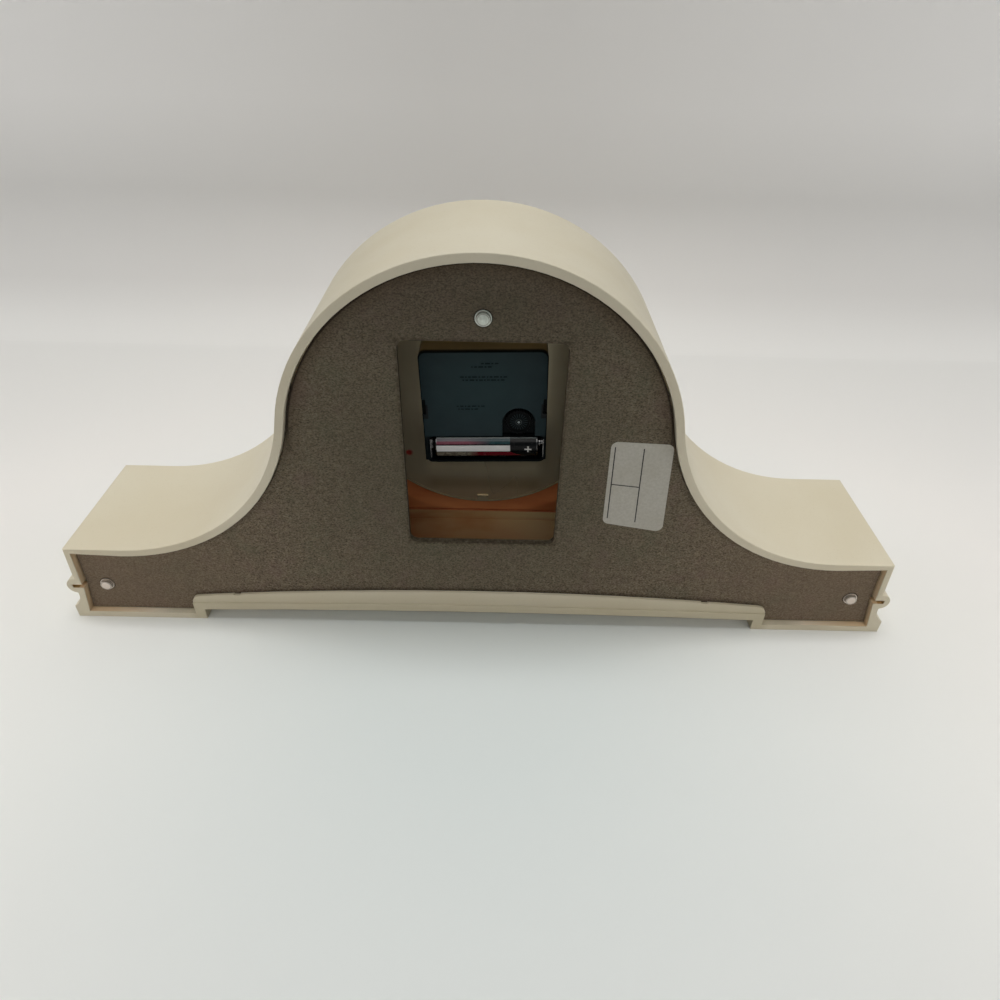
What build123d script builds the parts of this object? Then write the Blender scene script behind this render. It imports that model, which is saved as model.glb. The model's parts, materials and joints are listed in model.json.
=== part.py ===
from build123d import *
from math import asin, atan2, cos, degrees, hypot, pi, radians, sin, sqrt
import os

os.makedirs("parts", exist_ok=True)

# A tambour mantel clock: an open-backed moulded case, a pressed board behind it,
# a round dial unit let into its front, and a battery movement hung on the dial by its bush.
# x runs right and z up, as seen from the front, and the front faces -y.
# Every depth is counted forward from the plane of the case's back rim.

# Case
case_half_width = 190.0
crown_height = 181.2
shoulder_height = 43.1
shoulder_length = 25.9
hump_radius = 83.0
case_depth = 69.0
wall = 3.6
end_wall = 2.7
floor_wall = 3.2
side_lean = 0.9
front_edge_radius = 1.0
rim_edge_radius = 0.4

# Base moulding, each size measured out from the case's wall or up from the table
base_out = 6.3
plinth_height = 6.6
cove_out = 1.8
cove_top = 14.6
bead_bottom = 15.6
bead_top = 24.4
bead_out = 5.6

# Inside of the base, where the hollow bead leaves a slit and the wall steps inward below it
slit_top = 21.0
slit_bottom = 18.9
slit_wall = 2.8
step_in = 2.1
base_wall_in = 6.3

# Arched relief under the case between its rear feet, and the thin arched lip that stands above it
foot_length = 62.9
foot_wall = 5.0
relief_end_height = 6.1
relief_crown_height = 8.0
raised_wall = 4.1
lip_end_height = 14.1
lip_crown_height = 20.2
lip_corner_radius = 4.2
lip_in = 0.6
lip_thickness = 1.4
notch_x = 112.0
notch_shift = 4.0
notch_width = 3.2
notch_depth = 0.6

# Board behind the case
board_recess = 3.0
board_thickness = 3.2
board_fit = 0.5
opening_width = 65.0
opening_below_dial = 49.6
opening_above_dial = 48.4
opening_shift = 1.0
opening_corner_radius = 3.4

# Posts that the board is pushed onto, and the caps that grip them
side_post_in = 12.2
side_post_z = 19.4
top_post_below_crown = 24.7
post_radius = 1.5
post_proud = 1.4
post_hole_radius = 1.9
boss_radius = 4.2
boss_length = 22.0
web_thickness = 2.4
cap_radius = 3.15
cap_edge = 0.4
cap_disc_radius = 2.5
cap_disc_height = 1.7
cap_crown = 0.3

# Stiffening ribs inside the hump, which the board also seats on
rib_thickness = 2.0
rib_height = 5.0
rib_length = 50.0
rib_angles_share = (20, 40, 63, 117, 140, 160)

# Paper label on the board
label_width = 25.9
label_height = 45.9
label_inner_height = 42.3
label_top_rise = 1.0
label_outer_lean = 1.8
label_inner_lean = 0.6
label_thickness = 0.1
label_corner_radius = 2.9
label_x = -66.6
label_below_dial = 17.8

# Dial unit
dial_above_hump_centre = 0.6
dial_unit_depth = 14.6
skirt_radius = 64.0
sheet = 0.6
hole_clearance = 0.2
collar_wall = 2.5
collar_length = 5.0
bezel_radius = 71.0
bezel_inner_radius = 60.5
bezel_height = 4.6
bezel_lip_height = 2.4
tab_width = 5.6
tab_length = 3.4
plate_thickness = 0.8
card_thickness = 0.4
plate_fit = 0.2
lens_thickness = 1.8
lens_sag = 3.4
lens_seat = 0.5
spacer_wall = 0.7
spacer_taper = 1.6
spacer_gap = 0.1

# Hands and the pieces that hold them
hand_thickness = 0.5
hour_hand_length = 37.0
minute_hand_length = 53.0
seconds_hand_length = 50.0
seconds_tail_length = 16.0
hand_boss_radius = 4.2
hour_spade_width = 9.0
minute_spade_width = 7.0
spade_start_share = 0.52
spade_belly_share = 0.66
spade_end_share = 0.80
hand_neck_width = 2.2
hand_point_width = 0.7
seconds_width = 0.9
hand_nut_radius = 3.0
hand_nut_height = 1.5
minute_turn_share = 0.15
hour_turn_share = (10 + minute_turn_share) / 12
seconds_turn_share = 0.567

# Movement's case
movement_width = 56.6
movement_shift = 0.9
movement_above_dial = 28.3
movement_below_dial = 30.1
movement_depth = 16.1
housing_depth = 7.6
movement_turn_share = 1.7
movement_corner_radius = 3.2
shell = 1.1
cover_wall = 1.2
front_wall = 1.2
bay_cut = 3.0
pivot_boss_radius = 1.5
pivot_boss_height = 1.5
latch_height = 7.5
latch_above_dial = 1.4
latch_thickness = 1.6
latch_fit = 0.15
latch_short = 1.2

# Battery, a cylindrical cell of 14.3 by 50, and its contacts
cell_radius = 7.15
cell_length = 48.9
cell_nub_radius = 2.7
cell_nub_length = 0.9
cell_edge_radius = 0.8
jacket_thickness = 0.15
jacket_end = 1.0
cell_end_x = 23.1
bay_end_wall = 2.3
cell_fit = 0.3
cell_sunk = 0.35
contact_thickness = 0.4
contact_width = 6.0
contact_gap = 0.3
contact_bump_radius = 2.0
spring_wire = 0.7
spring_base_radius = 5.5
spring_tip_radius = 3.2
spring_turns = 2
strip_width = 3.0
strip_thickness = 0.3
strip_level = 10.5
strip_slot = 0.2
strip_x = -24.6

# Shafts that run inside each other at the dial's centre
bush_radius = 4.0
bush_bore = 2.6
bush_proud = 0.8
hour_pipe_radius = 2.52
minute_pipe_radius = 1.5
seconds_arbor_radius = 0.5
running_fit = 0.06
washer_radius = 8.0
rubber_thickness = 0.8
washer_thickness = 0.5
nut_width = 12.0
nut_height = 2.0
hand_gap = 0.7
pipe_proud = 0.5

# Wheels and pinions: teeth, modules and levels, which are counted forward from the movement's back
seconds_module = 0.36
centre_module = 0.34
middle_module = 0.44
rotor_module = 0.32
motion_module = 0.4
pinion_teeth = 8
middle_teeth = 40
seconds_teeth = 48
third_teeth = 60
centre_teeth = 64
cannon_teeth = 15
minute_teeth = 45
motion_pinion_teeth = 12
hour_teeth = 48
knob_pinion_teeth = 12
addendum_share = 0.80
dedendum_share = 1.15
tooth_tip_share = 0.24
tooth_root_share = 0.62
wheel_thickness = 1.0
arbor_radius = 0.45
pivot_depth = 0.6
hub_radius = 2.0
hour_wheel_level = 13.4
minute_wheel_level = 11.7
cannon_level = 11.4
cannon_length = 1.6
motion_pinion_length = 1.8
centre_wheel_level = 9.9
minute_pipe_back_level = 9.5
third_wheel_level = 7.4
third_pinion_level = 8.9
third_pinion_length = 2.6
seconds_pinion_level = 6.8
seconds_pinion_length = 2.3
seconds_wheel_level = 5.4
middle_pinion_level = 4.9
middle_pinion_length = 2.0
middle_wheel_level = 3.4
rotor_pinion_level = 3.1
rotor_pinion_length = 1.8
third_angle_share = 83.0
middle_angle_share = -10.0
rotor_angle_share = 40.0
web_holes = 5
web_hole_share = 0.72

# Setting knob
knob_x = -16.4
knob_below_dial = 6.9
knob_radius = 6.2
knob_recess_radius = 7.5
knob_recess_wall = 0.9
knob_recess_depth = 3.2
knob_height = 2.5
knob_sunk = 0.4
knob_flutes = 24
knob_flute_radius = 0.5
knob_stem_radius = 1.5
knob_rim = 1.2
knob_dish = 0.5
knob_pinion_level = 11.2
knob_pinion_length = 2.0

# Stepping motor
coil_x = 12.5
coil_above_dial = 23.8
coil_level = 11.3
coil_length = 19.0
coil_radius = 2.5
bobbin_flange = 5.4
bobbin_flange_thickness = 0.8
bobbin_wall = 0.5
core_width = 2.4
stator_thickness = 1.0
stator_width = 3.4
stator_ring_radius = 5.4
stator_bore = 3.5
stator_leg = 6.0
magnet_radius = 3.0
magnet_length = 2.5
magnet_level = 9.7

# Circuit board
circuit_width = 18.0
circuit_height = 9.6
circuit_thickness = 0.8
circuit_level = 12.3
circuit_x = -17.4
circuit_above_dial = 21.6
crystal_radius = 1.0
crystal_length = 6.0
chip_radius = 2.5
chip_height = 0.9
standoff_radius = 1.1
standoff_in = 2.4

# One overrun for every cut
cut = 1.0

# Places that follow from the sizes above
total_depth = case_depth + base_out
back_y = total_depth / 2
outer_half = case_half_width + base_out
hump_z = crown_height - hump_radius
hump_rise = hump_z - shoulder_height
sweep_x = case_half_width - shoulder_length
sweep_radius = (sweep_x**2 + hump_rise**2 - hump_radius**2) / (2 * (hump_radius + hump_rise))
sweep_z = shoulder_height + sweep_radius
sweep_angle = degrees(atan2(sweep_z - hump_z, sweep_x))
foot_in = outer_half - foot_length
cavity_half = foot_in + foot_wall
raised_end = relief_end_height + raised_wall
raised_crown = relief_crown_height + raised_wall
board_front = board_recess + board_thickness
side_post_x = case_half_width - side_post_in
top_post_z = crown_height - top_post_below_crown
front_inner = case_depth - wall
dial_height = hump_z + dial_above_hump_centre
dial_back_depth = case_depth - dial_unit_depth
movement_front_depth = dial_back_depth - rubber_thickness
movement_back_depth = movement_front_depth - movement_depth
split_depth = movement_front_depth - housing_depth
movement_x = -movement_shift
movement_top = dial_height + movement_above_dial
movement_bottom = dial_height - movement_below_dial
half_movement = movement_width / 2
cover_inner = movement_back_depth + cover_wall
housing_inner = movement_front_depth - front_wall
bay_bottom = movement_bottom + shell
bay_top = bay_bottom + 2 * (cell_radius + cell_fit)
cell_z = bay_bottom + cell_fit + cell_radius
cell_depth = movement_back_depth + cell_sunk + cell_radius
plate_radius = skirt_radius - sheet - plate_fit
card_depth = dial_back_depth + plate_thickness
washer_depth = card_depth + card_thickness
nut_depth = washer_depth + washer_thickness
bush_front_depth = nut_depth + nut_height + bush_proud
hour_hand_depth = bush_front_depth + hand_gap
hour_pipe_depth = hour_hand_depth + hand_thickness + pipe_proud
minute_hand_depth = hour_pipe_depth + hand_gap
minute_pipe_depth = minute_hand_depth + hand_thickness + hand_nut_height
seconds_hand_depth = minute_pipe_depth + hand_gap
seconds_tip_depth = seconds_hand_depth + hand_thickness + pipe_proud
lens_radius = plate_radius
lens_depth = case_depth + bezel_lip_height - sheet - lens_seat - lens_thickness
pivot_back = cover_inner + pivot_boss_height - pivot_depth
pivot_front = housing_inner + pivot_depth
boss_hole_radius = arbor_radius + running_fit
minute_bore = seconds_arbor_radius + running_fit
hour_bore = minute_pipe_radius + running_fit
knob_z = dial_height - knob_below_dial
coil_z = dial_height + coil_above_dial
circuit_z = dial_height + circuit_above_dial
hour_wheel_depth = movement_back_depth + hour_wheel_level
minute_wheel_depth = movement_back_depth + minute_wheel_level
cannon_depth = movement_back_depth + cannon_level
centre_wheel_depth = movement_back_depth + centre_wheel_level
minute_pipe_back_depth = movement_back_depth + minute_pipe_back_level
third_wheel_depth = movement_back_depth + third_wheel_level
third_pinion_depth = movement_back_depth + third_pinion_level
seconds_pinion_depth = movement_back_depth + seconds_pinion_level
seconds_wheel_depth = movement_back_depth + seconds_wheel_level
middle_pinion_depth = movement_back_depth + middle_pinion_level
middle_wheel_depth = movement_back_depth + middle_wheel_level
rotor_pinion_depth = movement_back_depth + rotor_pinion_level
knob_pinion_depth = movement_back_depth + knob_pinion_level
coil_depth = movement_back_depth + coil_level
magnet_depth = movement_back_depth + magnet_level
circuit_depth = movement_back_depth + circuit_level
strip_depth = movement_back_depth + strip_level


def layer(depth):
    """The upright plane at a depth behind which things are drawn, as seen from the front."""
    return Plane.XZ.offset(depth - back_y)


def keep(piece, name, turn_share=0):
    """Names a finished piece and writes it, turned a little about the dial's axis if it asks for that."""
    made = piece.part.rotate(Axis((0, 0, dial_height), (0, 1, 0)), turn_share)
    made.label = name
    export_step(made, f"parts/{name}.step")


def polar(centre, radius, angle):
    """A point at a distance and an angle in degrees from a centre."""
    return (centre[0] + radius * cos(radians(angle)), centre[1] + radius * sin(radians(angle)))


def bearing(start, end):
    """The angle in degrees of the line from one point to another."""
    return degrees(atan2(end[1] - start[1], end[0] - start[0]))


def meet(first, first_reach, second, second_reach):
    """The upper point that lies at one distance from a point and at another from a second."""
    span = hypot(second[0] - first[0], second[1] - first[1])
    along = (first_reach**2 - second_reach**2 + span**2) / (2 * span)
    rise = sqrt(first_reach**2 - along**2)
    angle = bearing(first, second)
    foot = polar(first, along, angle)
    return polar(foot, rise, angle - 90)


# Gear centres
dial_centre = (0, dial_height)
third_reach = seconds_module * (pinion_teeth + third_teeth) / 2
middle_reach = middle_module * (pinion_teeth + seconds_teeth) / 2
rotor_reach = rotor_module * (pinion_teeth + middle_teeth) / 2
motion_reach = motion_module * (cannon_teeth + minute_teeth) / 2
knob_reach = motion_module * (knob_pinion_teeth + minute_teeth) / 2
third_centre = polar(dial_centre, third_reach, third_angle_share)
middle_centre = polar(dial_centre, middle_reach, middle_angle_share)
rotor_centre = polar(middle_centre, rotor_reach, rotor_angle_share)
knob_centre = (knob_x, knob_z)
minute_centre = meet(dial_centre, motion_reach, knob_centre, knob_reach)


def meshed(phase, teeth, centre, other_teeth, other_centre):
    """The angle of one tooth of a second gear, so that it meshes with the first."""
    line = bearing(centre, other_centre)
    share = (line - phase) * teeth / 360
    return line + 180 - (0.5 - share) * 360 / other_teeth


def gear(depth, thickness, centre, teeth, module, phase, bore=0):
    """Adds a toothed disc with straight flanks to the piece that is being made."""
    pitch = 360 / teeth
    root = module * (teeth / 2 - dedendum_share)
    tip = module * (teeth / 2 + addendum_share)
    corners = (
        (root, -tooth_root_share / 2),
        (tip, -tooth_tip_share / 2),
        (tip, tooth_tip_share / 2),
        (root, tooth_root_share / 2),
    )
    points = [
        polar((0, 0), radius, phase + (tooth + place) * pitch)
        for tooth in range(teeth)
        for radius, place in corners
    ]
    with BuildSketch(layer(depth)) as teeth_sketch:
        with Locations(centre):
            with BuildSketch(mode=Mode.PRIVATE) as outline:
                with BuildLine():
                    Polyline(*points, close=True)
                make_face()
            add(outline.sketch)
            if bore:
                Circle(bore, mode=Mode.SUBTRACT)
    extrude(teeth_sketch.sketch, amount=thickness)


def rod(start, end, centre, radius, bore=0):
    """Adds a round bar, or a tube, that runs from one depth to another."""
    with BuildSketch(layer(start)) as section:
        with Locations(centre):
            Circle(radius)
            if bore:
                Circle(bore, mode=Mode.SUBTRACT)
    extrude(section.sketch, amount=end - start)


def hole(start, end, centre, radius):
    """Cuts a round hole from one depth to another."""
    with BuildSketch(layer(start)) as section:
        with Locations(centre):
            Circle(radius)
    extrude(section.sketch, amount=end - start, mode=Mode.SUBTRACT)


def slab(start, end, low, high, radius=0, mode=Mode.ADD):
    """Adds or cuts an upright block between two depths and two corners."""
    with BuildSketch(layer(start)) as section:
        with Locations(((low[0] + high[0]) / 2, (low[1] + high[1]) / 2)):
            if radius:
                RectangleRounded(high[0] - low[0], high[1] - low[1], radius)
            else:
                Rectangle(high[0] - low[0], high[1] - low[1])
    extrude(section.sketch, amount=end - start, mode=mode)


def lighten(depth, centre, inner, outer):
    """Cuts a ring of round holes through a wheel's web."""
    with BuildSketch(layer(depth - cut)) as section:
        with Locations(centre):
            with PolarLocations((inner + outer) / 2, web_holes):
                Circle((outer - inner) / 2 * web_hole_share)
    extrude(section.sketch, amount=wheel_thickness + 2 * cut, mode=Mode.SUBTRACT)


def hump_line(grow):
    """Draws the right half of the hump and its sweep, grown out or in by a wall."""
    CenterArc((sweep_x, sweep_z), sweep_radius - grow, 180 + sweep_angle, 90 - sweep_angle)
    CenterArc((0, hump_z), hump_radius + grow, sweep_angle, 90 - sweep_angle)


def moulding_line(edge):
    """Draws the base moulding's outer line beyond an edge, from the table up."""
    Line((edge + base_out, 0), (edge + base_out, plinth_height))
    TangentArc((edge + cove_out, cove_top), (edge + base_out, plinth_height), tangent=(0, -1))
    Line((edge + cove_out, cove_top), (edge + cove_out, bead_bottom))
    ThreePointArc(
        (edge + cove_out, bead_bottom),
        (edge + bead_out, (bead_bottom + bead_top) / 2),
        (edge + side_lean, bead_top),
    )


def post(x, z):
    """Adds a boss behind the board and the pin that the board is pushed onto."""
    rod(board_front, board_front + boss_length, (x, z), boss_radius)
    rod(board_recess - post_proud, board_front, (x, z), post_radius)


# Case: outer form, cavity, dial hole, lip, feet, posts and ribs
with BuildPart() as case_shell:
    with BuildSketch(layer(0)):
        with BuildLine():
            Line((0, 0), (outer_half, 0))
            moulding_line(case_half_width)
            Line((case_half_width + side_lean, bead_top), (case_half_width, shoulder_height))
            Line((case_half_width, shoulder_height), (sweep_x, shoulder_height))
            hump_line(0)
            mirror(about=Plane.YZ)
        make_face()
    extrude(amount=total_depth)
    with BuildSketch(Plane.YZ) as side_view:
        with Locations((back_y, 0)):
            with BuildSketch(mode=Mode.PRIVATE) as front_profile:
                with BuildLine():
                    Line((0, 0), (total_depth, 0))
                    moulding_line(case_depth)
                    Line((case_depth + side_lean, bead_top), (case_depth, bead_top))
                    Line((case_depth, bead_top), (case_depth, crown_height))
                    Line((case_depth, crown_height), (0, crown_height))
                    Line((0, crown_height), (0, 0))
                make_face()
                mirror(about=Plane.YZ, mode=Mode.REPLACE)
            add(front_profile.sketch)
    extrude(amount=outer_half, both=True, mode=Mode.INTERSECT)
    front_face = faces().filter_by(Axis.Y).filter_by_position(
        Axis.Y, back_y - case_depth - cut / 4, back_y - case_depth + cut / 4
    ).sort_by(SortBy.AREA)[-1]
    fillet(
        front_face.edges().filter_by_position(Axis.Z, shoulder_height - cut, crown_height + cut),
        radius=front_edge_radius,
    )
    rim = faces().sort_by(Axis.Y)[-1].edges().filter_by_position(Axis.Z, cut / 4, crown_height + cut)
    fillet(rim, radius=rim_edge_radius)

    # Cavity, open to the back
    inner_half = case_half_width - end_wall
    with BuildPart(mode=Mode.PRIVATE) as cavity:
        with BuildSketch(layer(-cut)):
            with BuildLine():
                TangentArc((0, raised_crown), (cavity_half, raised_end), tangent=(1, 0))
                Line((cavity_half, raised_end), (cavity_half, floor_wall))
                Line((cavity_half, floor_wall), (outer_half - base_wall_in, floor_wall))
                Line((outer_half - base_wall_in, floor_wall), (case_half_width - step_in, slit_bottom))
                Line((case_half_width - step_in, slit_bottom),
                     (case_half_width + bead_out - slit_wall, slit_bottom))
                Line((case_half_width + bead_out - slit_wall, slit_bottom),
                     (case_half_width + bead_out - slit_wall, slit_top))
                Line((case_half_width + bead_out - slit_wall, slit_top), (inner_half + side_lean, slit_top))
                Line((inner_half + side_lean, slit_top), (inner_half, shoulder_height - end_wall))
                Line((inner_half, shoulder_height - end_wall), (sweep_x, shoulder_height - wall))
                hump_line(-wall)
                mirror(about=Plane.YZ)
            make_face()
        extrude(amount=total_depth)
        with BuildSketch(Plane.YZ):
            with BuildLine():
                Polyline(
                    (back_y + cut, floor_wall),
                    (base_wall_in - back_y, floor_wall),
                    (back_y - case_depth + step_in, slit_bottom),
                    (back_y - case_depth - bead_out + slit_wall, slit_bottom),
                    (back_y - case_depth - bead_out + slit_wall, slit_top),
                    (back_y - front_inner, slit_top),
                    (back_y - front_inner, crown_height),
                    (back_y + cut, crown_height),
                    close=True,
                )
            make_face()
        extrude(amount=outer_half, both=True, mode=Mode.INTERSECT)
    add(cavity.part, mode=Mode.SUBTRACT)

    # Relief under the floor, open to the back between the rear feet
    with BuildSketch(layer(-cut)):
        with BuildLine():
            Line((-foot_in, -cut), (foot_in, -cut))
            Line((foot_in, -cut), (foot_in, relief_end_height))
            ThreePointArc(
                (foot_in, relief_end_height), (0, relief_crown_height), (-foot_in, relief_end_height)
            )
            Line((-foot_in, relief_end_height), (-foot_in, -cut))
        make_face()
    extrude(amount=total_depth - base_wall_in + cut, mode=Mode.SUBTRACT)

    # Thin arched lip just inside the rim, with two small notches in its edge
    with BuildSketch(layer(lip_in)) as lip:
        with BuildLine():
            Line((-cavity_half, raised_end - lip_in), (cavity_half, raised_end - lip_in))
            Line((cavity_half, raised_end - lip_in), (cavity_half, lip_end_height))
            ThreePointArc(
                (cavity_half, lip_end_height), (0, lip_crown_height), (-cavity_half, lip_end_height)
            )
            Line((-cavity_half, lip_end_height), (-cavity_half, raised_end - lip_in))
        make_face()
        fillet(lip.vertices().group_by(Axis.Y)[-1], radius=lip_corner_radius)
        for x in (notch_shift + notch_x, notch_shift - notch_x):
            notch_z = lip_crown_height - (lip_crown_height - lip_end_height) * (x / cavity_half) ** 2
            with Locations((x, notch_z)):
                Rectangle(notch_width, 2 * notch_depth, mode=Mode.SUBTRACT)
    extrude(lip.sketch, amount=lip_thickness)

    # Dial hole with its collar
    rod(front_inner - collar_length, case_depth, dial_centre,
        skirt_radius + hole_clearance + collar_wall)
    hole(front_inner - collar_length - cut, total_depth, dial_centre, skirt_radius + hole_clearance)

    # Posts: the side pair on webs from the base walls, the top one on a web from the crown
    for side in (1, -1):
        post(side * side_post_x, side_post_z)
        with BuildSketch(layer(board_front)) as webs:
            with Locations((side * side_post_x, (side_post_z + floor_wall - cut) / 2)):
                Rectangle(web_thickness, side_post_z - floor_wall + cut)
            with Locations((side * (side_post_x + inner_half + 2 * cut) / 2, slit_bottom - web_thickness)):
                Rectangle(inner_half + 2 * cut - side_post_x, web_thickness)
        extrude(webs.sketch, amount=boss_length)
    post(-opening_shift, top_post_z)
    with BuildSketch(layer(board_front)) as hanger:
        with Locations((-opening_shift, (top_post_z + crown_height - wall / 2) / 2)):
            Rectangle(web_thickness, crown_height - wall / 2 - top_post_z)
    extrude(hanger.sketch, amount=boss_length)

    # Ribs under the hump that the board seats on
    with BuildSketch(layer(board_front)) as ribs:
        for angle in rib_angles_share:
            with Locations(polar((0, hump_z), hump_radius - wall / 2 - rib_height / 2, angle)):
                Rectangle(rib_height + wall, rib_thickness, rotation=angle)
    extrude(ribs.sketch, amount=rib_length)
keep(case_shell, "case_shell")


# Board, pushed into the back of the case
with BuildPart() as back_board:
    fit = board_fit
    edge = case_half_width - end_wall - fit
    with BuildSketch(layer(board_recess)):
        with BuildLine():
            TangentArc((0, raised_crown + fit), (cavity_half + fit, raised_end + fit), tangent=(1, 0))
            Line((cavity_half + fit, raised_end + fit), (cavity_half + fit, floor_wall + fit))
            Line((cavity_half + fit, floor_wall + fit), (outer_half - base_wall_in - fit, floor_wall + fit))
            Line((outer_half - base_wall_in - fit, floor_wall + fit),
                 (case_half_width - step_in - fit, slit_bottom))
            Line((case_half_width - step_in - fit, slit_bottom), (edge, shoulder_height - end_wall - fit))
            Line((edge, shoulder_height - end_wall - fit), (sweep_x, shoulder_height - wall - fit))
            hump_line(-wall - fit)
            mirror(about=Plane.YZ)
        make_face()
    extrude(amount=board_thickness)
    slab(board_recess - cut, board_front + cut,
         (-opening_shift - opening_width / 2, dial_height - opening_below_dial),
         (-opening_shift + opening_width / 2, dial_height + opening_above_dial),
         opening_corner_radius, Mode.SUBTRACT)
    with BuildSketch(layer(board_recess - cut)):
        with Locations((side_post_x, side_post_z), (-side_post_x, side_post_z), (-opening_shift, top_post_z)):
            Circle(post_hole_radius)
    extrude(amount=board_thickness + 2 * cut, mode=Mode.SUBTRACT)
keep(back_board, "back_board")


# Push caps on the three posts: a thin round rim with a raised, slightly domed disc
dome_radius = (cap_disc_radius**2 + cap_crown**2) / (2 * cap_crown)
dome_z = cap_disc_height + cap_crown - dome_radius
dome_angle = degrees(asin(cap_disc_radius / dome_radius))
with BuildPart() as push_caps:
    for x, z in ((side_post_x, side_post_z), (-side_post_x, side_post_z), (-opening_shift, top_post_z)):
        cap_plane = Plane(origin=(x, back_y - board_recess, z), x_dir=(1, 0, 0), z_dir=(0, 0, 1))
        with BuildSketch(cap_plane) as half:
            with BuildLine():
                Line((post_radius, 0), (cap_radius, 0))
                Line((cap_radius, 0), (cap_radius, cap_edge))
                Line((cap_radius, cap_edge), (cap_disc_radius, cap_edge))
                Line((cap_disc_radius, cap_edge), (cap_disc_radius, cap_disc_height))
                CenterArc((0, dome_z), dome_radius, 90 - dome_angle, dome_angle)
                Line((0, cap_disc_height + cap_crown), (0, post_proud))
                Line((0, post_proud), (post_radius, post_proud))
                Line((post_radius, post_proud), (post_radius, 0))
            make_face()
        revolve(half.sketch, axis=Axis((x, 0, z), (0, 1, 0)))
keep(push_caps, "push_caps")


# Paper label on the board, a hand-cut piece that is a little longer on its outer side
label_top = dial_height - label_below_dial + label_height / 2
label_outer = label_x - label_width / 2
label_inner = label_x + label_width / 2
with BuildPart() as back_label:
    with BuildSketch(layer(board_recess - label_thickness)) as label:
        with BuildLine():
            Polyline(
                (label_outer, label_top),
                (label_inner, label_top + label_top_rise),
                (label_inner - label_inner_lean, label_top + label_top_rise - label_inner_height),
                (label_outer - label_outer_lean, label_top - label_height),
                close=True,
            )
        make_face()
        fillet(label.vertices(), radius=label_corner_radius)
    extrude(label.sketch, amount=label_thickness)
keep(back_label, "back_label")


def turned(points_maker):
    """Revolves a half section, drawn as radius and depth, round the dial's axis."""
    with BuildSketch(Plane(origin=(0, back_y, dial_height), x_dir=(1, 0, 0), z_dir=(0, 0, -1))) as half:
        with BuildLine():
            points_maker()
        make_face()
    revolve(half.sketch, axis=Axis((0, 0, dial_height), (0, 1, 0)))


# Bezel: a drawn brass ring with a skirt whose tabs fold over the dial plate
def bezel_section():
    skirt_in = skirt_radius - sheet
    crest = (bezel_radius + bezel_inner_radius) / 2
    lip = case_depth + bezel_lip_height
    Line((skirt_in, dial_back_depth - sheet), (skirt_in, case_depth + sheet))
    Line((skirt_in, case_depth + sheet), (bezel_radius - sheet, case_depth + sheet))
    Line((bezel_radius - sheet, case_depth + sheet), (bezel_radius - sheet, case_depth + 2 * sheet))
    ThreePointArc(
        (bezel_radius - sheet, case_depth + 2 * sheet),
        (crest, case_depth + bezel_height - sheet),
        (bezel_inner_radius, lip - sheet),
    )
    Line((bezel_inner_radius, lip - sheet), (bezel_inner_radius, lip))
    ThreePointArc(
        (bezel_inner_radius, lip), (crest, case_depth + bezel_height), (bezel_radius, case_depth + 2 * sheet)
    )
    Line((bezel_radius, case_depth + 2 * sheet), (bezel_radius, case_depth))
    Line((bezel_radius, case_depth), (skirt_radius, case_depth))
    Line((skirt_radius, case_depth), (skirt_radius, dial_back_depth - sheet))
    Line((skirt_radius, dial_back_depth - sheet), (skirt_in, dial_back_depth - sheet))


with BuildPart() as bezel:
    turned(bezel_section)
    with BuildSketch(layer(dial_back_depth - sheet)) as tabs:
        with Locations(dial_centre):
            with PolarLocations(skirt_radius - sheet / 2 - tab_length / 2, 4):
                Rectangle(tab_length + sheet / 2, tab_width)
    extrude(tabs.sketch, amount=sheet)
keep(bezel, "bezel")


# Lens: a shallow dome of even thickness with a flat seat round it
lens_edge = lens_depth + lens_thickness
lens_curve = (bezel_inner_radius**2 + lens_sag**2) / (2 * lens_sag)
lens_middle = lens_edge + lens_sag - lens_curve
lens_half_angle = degrees(asin(bezel_inner_radius / lens_curve))
inner_curve = lens_curve - lens_thickness
inner_half_angle = 90 - degrees(asin((lens_depth - lens_middle) / inner_curve))
inner_reach = inner_curve * sin(radians(inner_half_angle))


def lens_section():
    CenterArc((0, lens_middle), lens_curve, 90 - lens_half_angle, lens_half_angle)
    Line((bezel_inner_radius, lens_edge), (lens_radius, lens_edge))
    Line((lens_radius, lens_edge), (lens_radius, lens_depth))
    Line((lens_radius, lens_depth), (inner_reach, lens_depth))
    CenterArc((0, lens_middle), inner_curve, 90 - inner_half_angle, inner_half_angle)
    Line((0, lens_edge + lens_sag), (0, lens_edge + lens_sag - lens_thickness))


with BuildPart() as dial_lens:
    turned(lens_section)
keep(dial_lens, "dial_lens")


# Spacer: a thin tapered ring between the dial and the lens
def spacer_section():
    back = washer_depth
    front = lens_depth - spacer_gap
    Line((plate_radius - spacer_wall, back), (plate_radius, back))
    Line((plate_radius, back), (plate_radius - spacer_taper, front))
    Line((plate_radius - spacer_taper, front), (plate_radius - spacer_taper - spacer_wall, front))
    Line((plate_radius - spacer_taper - spacer_wall, front), (plate_radius - spacer_wall, back))


with BuildPart() as dial_spacer:
    turned(spacer_section)
keep(dial_spacer, "dial_spacer")


# Dial: a metal plate and the printed card on its front
with BuildPart() as dial_plate:
    rod(dial_back_depth, card_depth, dial_centre, plate_radius, bush_radius + plate_fit)
keep(dial_plate, "dial_plate")

with BuildPart() as dial_card:
    rod(card_depth, washer_depth, dial_centre, plate_radius, bush_radius + plate_fit)
keep(dial_card, "dial_card")


# Bush, nut and washers that clamp the movement to the dial
with BuildPart() as threaded_bush:
    rod(housing_inner, bush_front_depth, dial_centre, bush_radius, bush_bore)
keep(threaded_bush, "threaded_bush")

with BuildPart() as rubber_washer:
    rod(movement_front_depth, dial_back_depth, dial_centre, washer_radius, bush_radius)
keep(rubber_washer, "rubber_washer")

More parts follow.
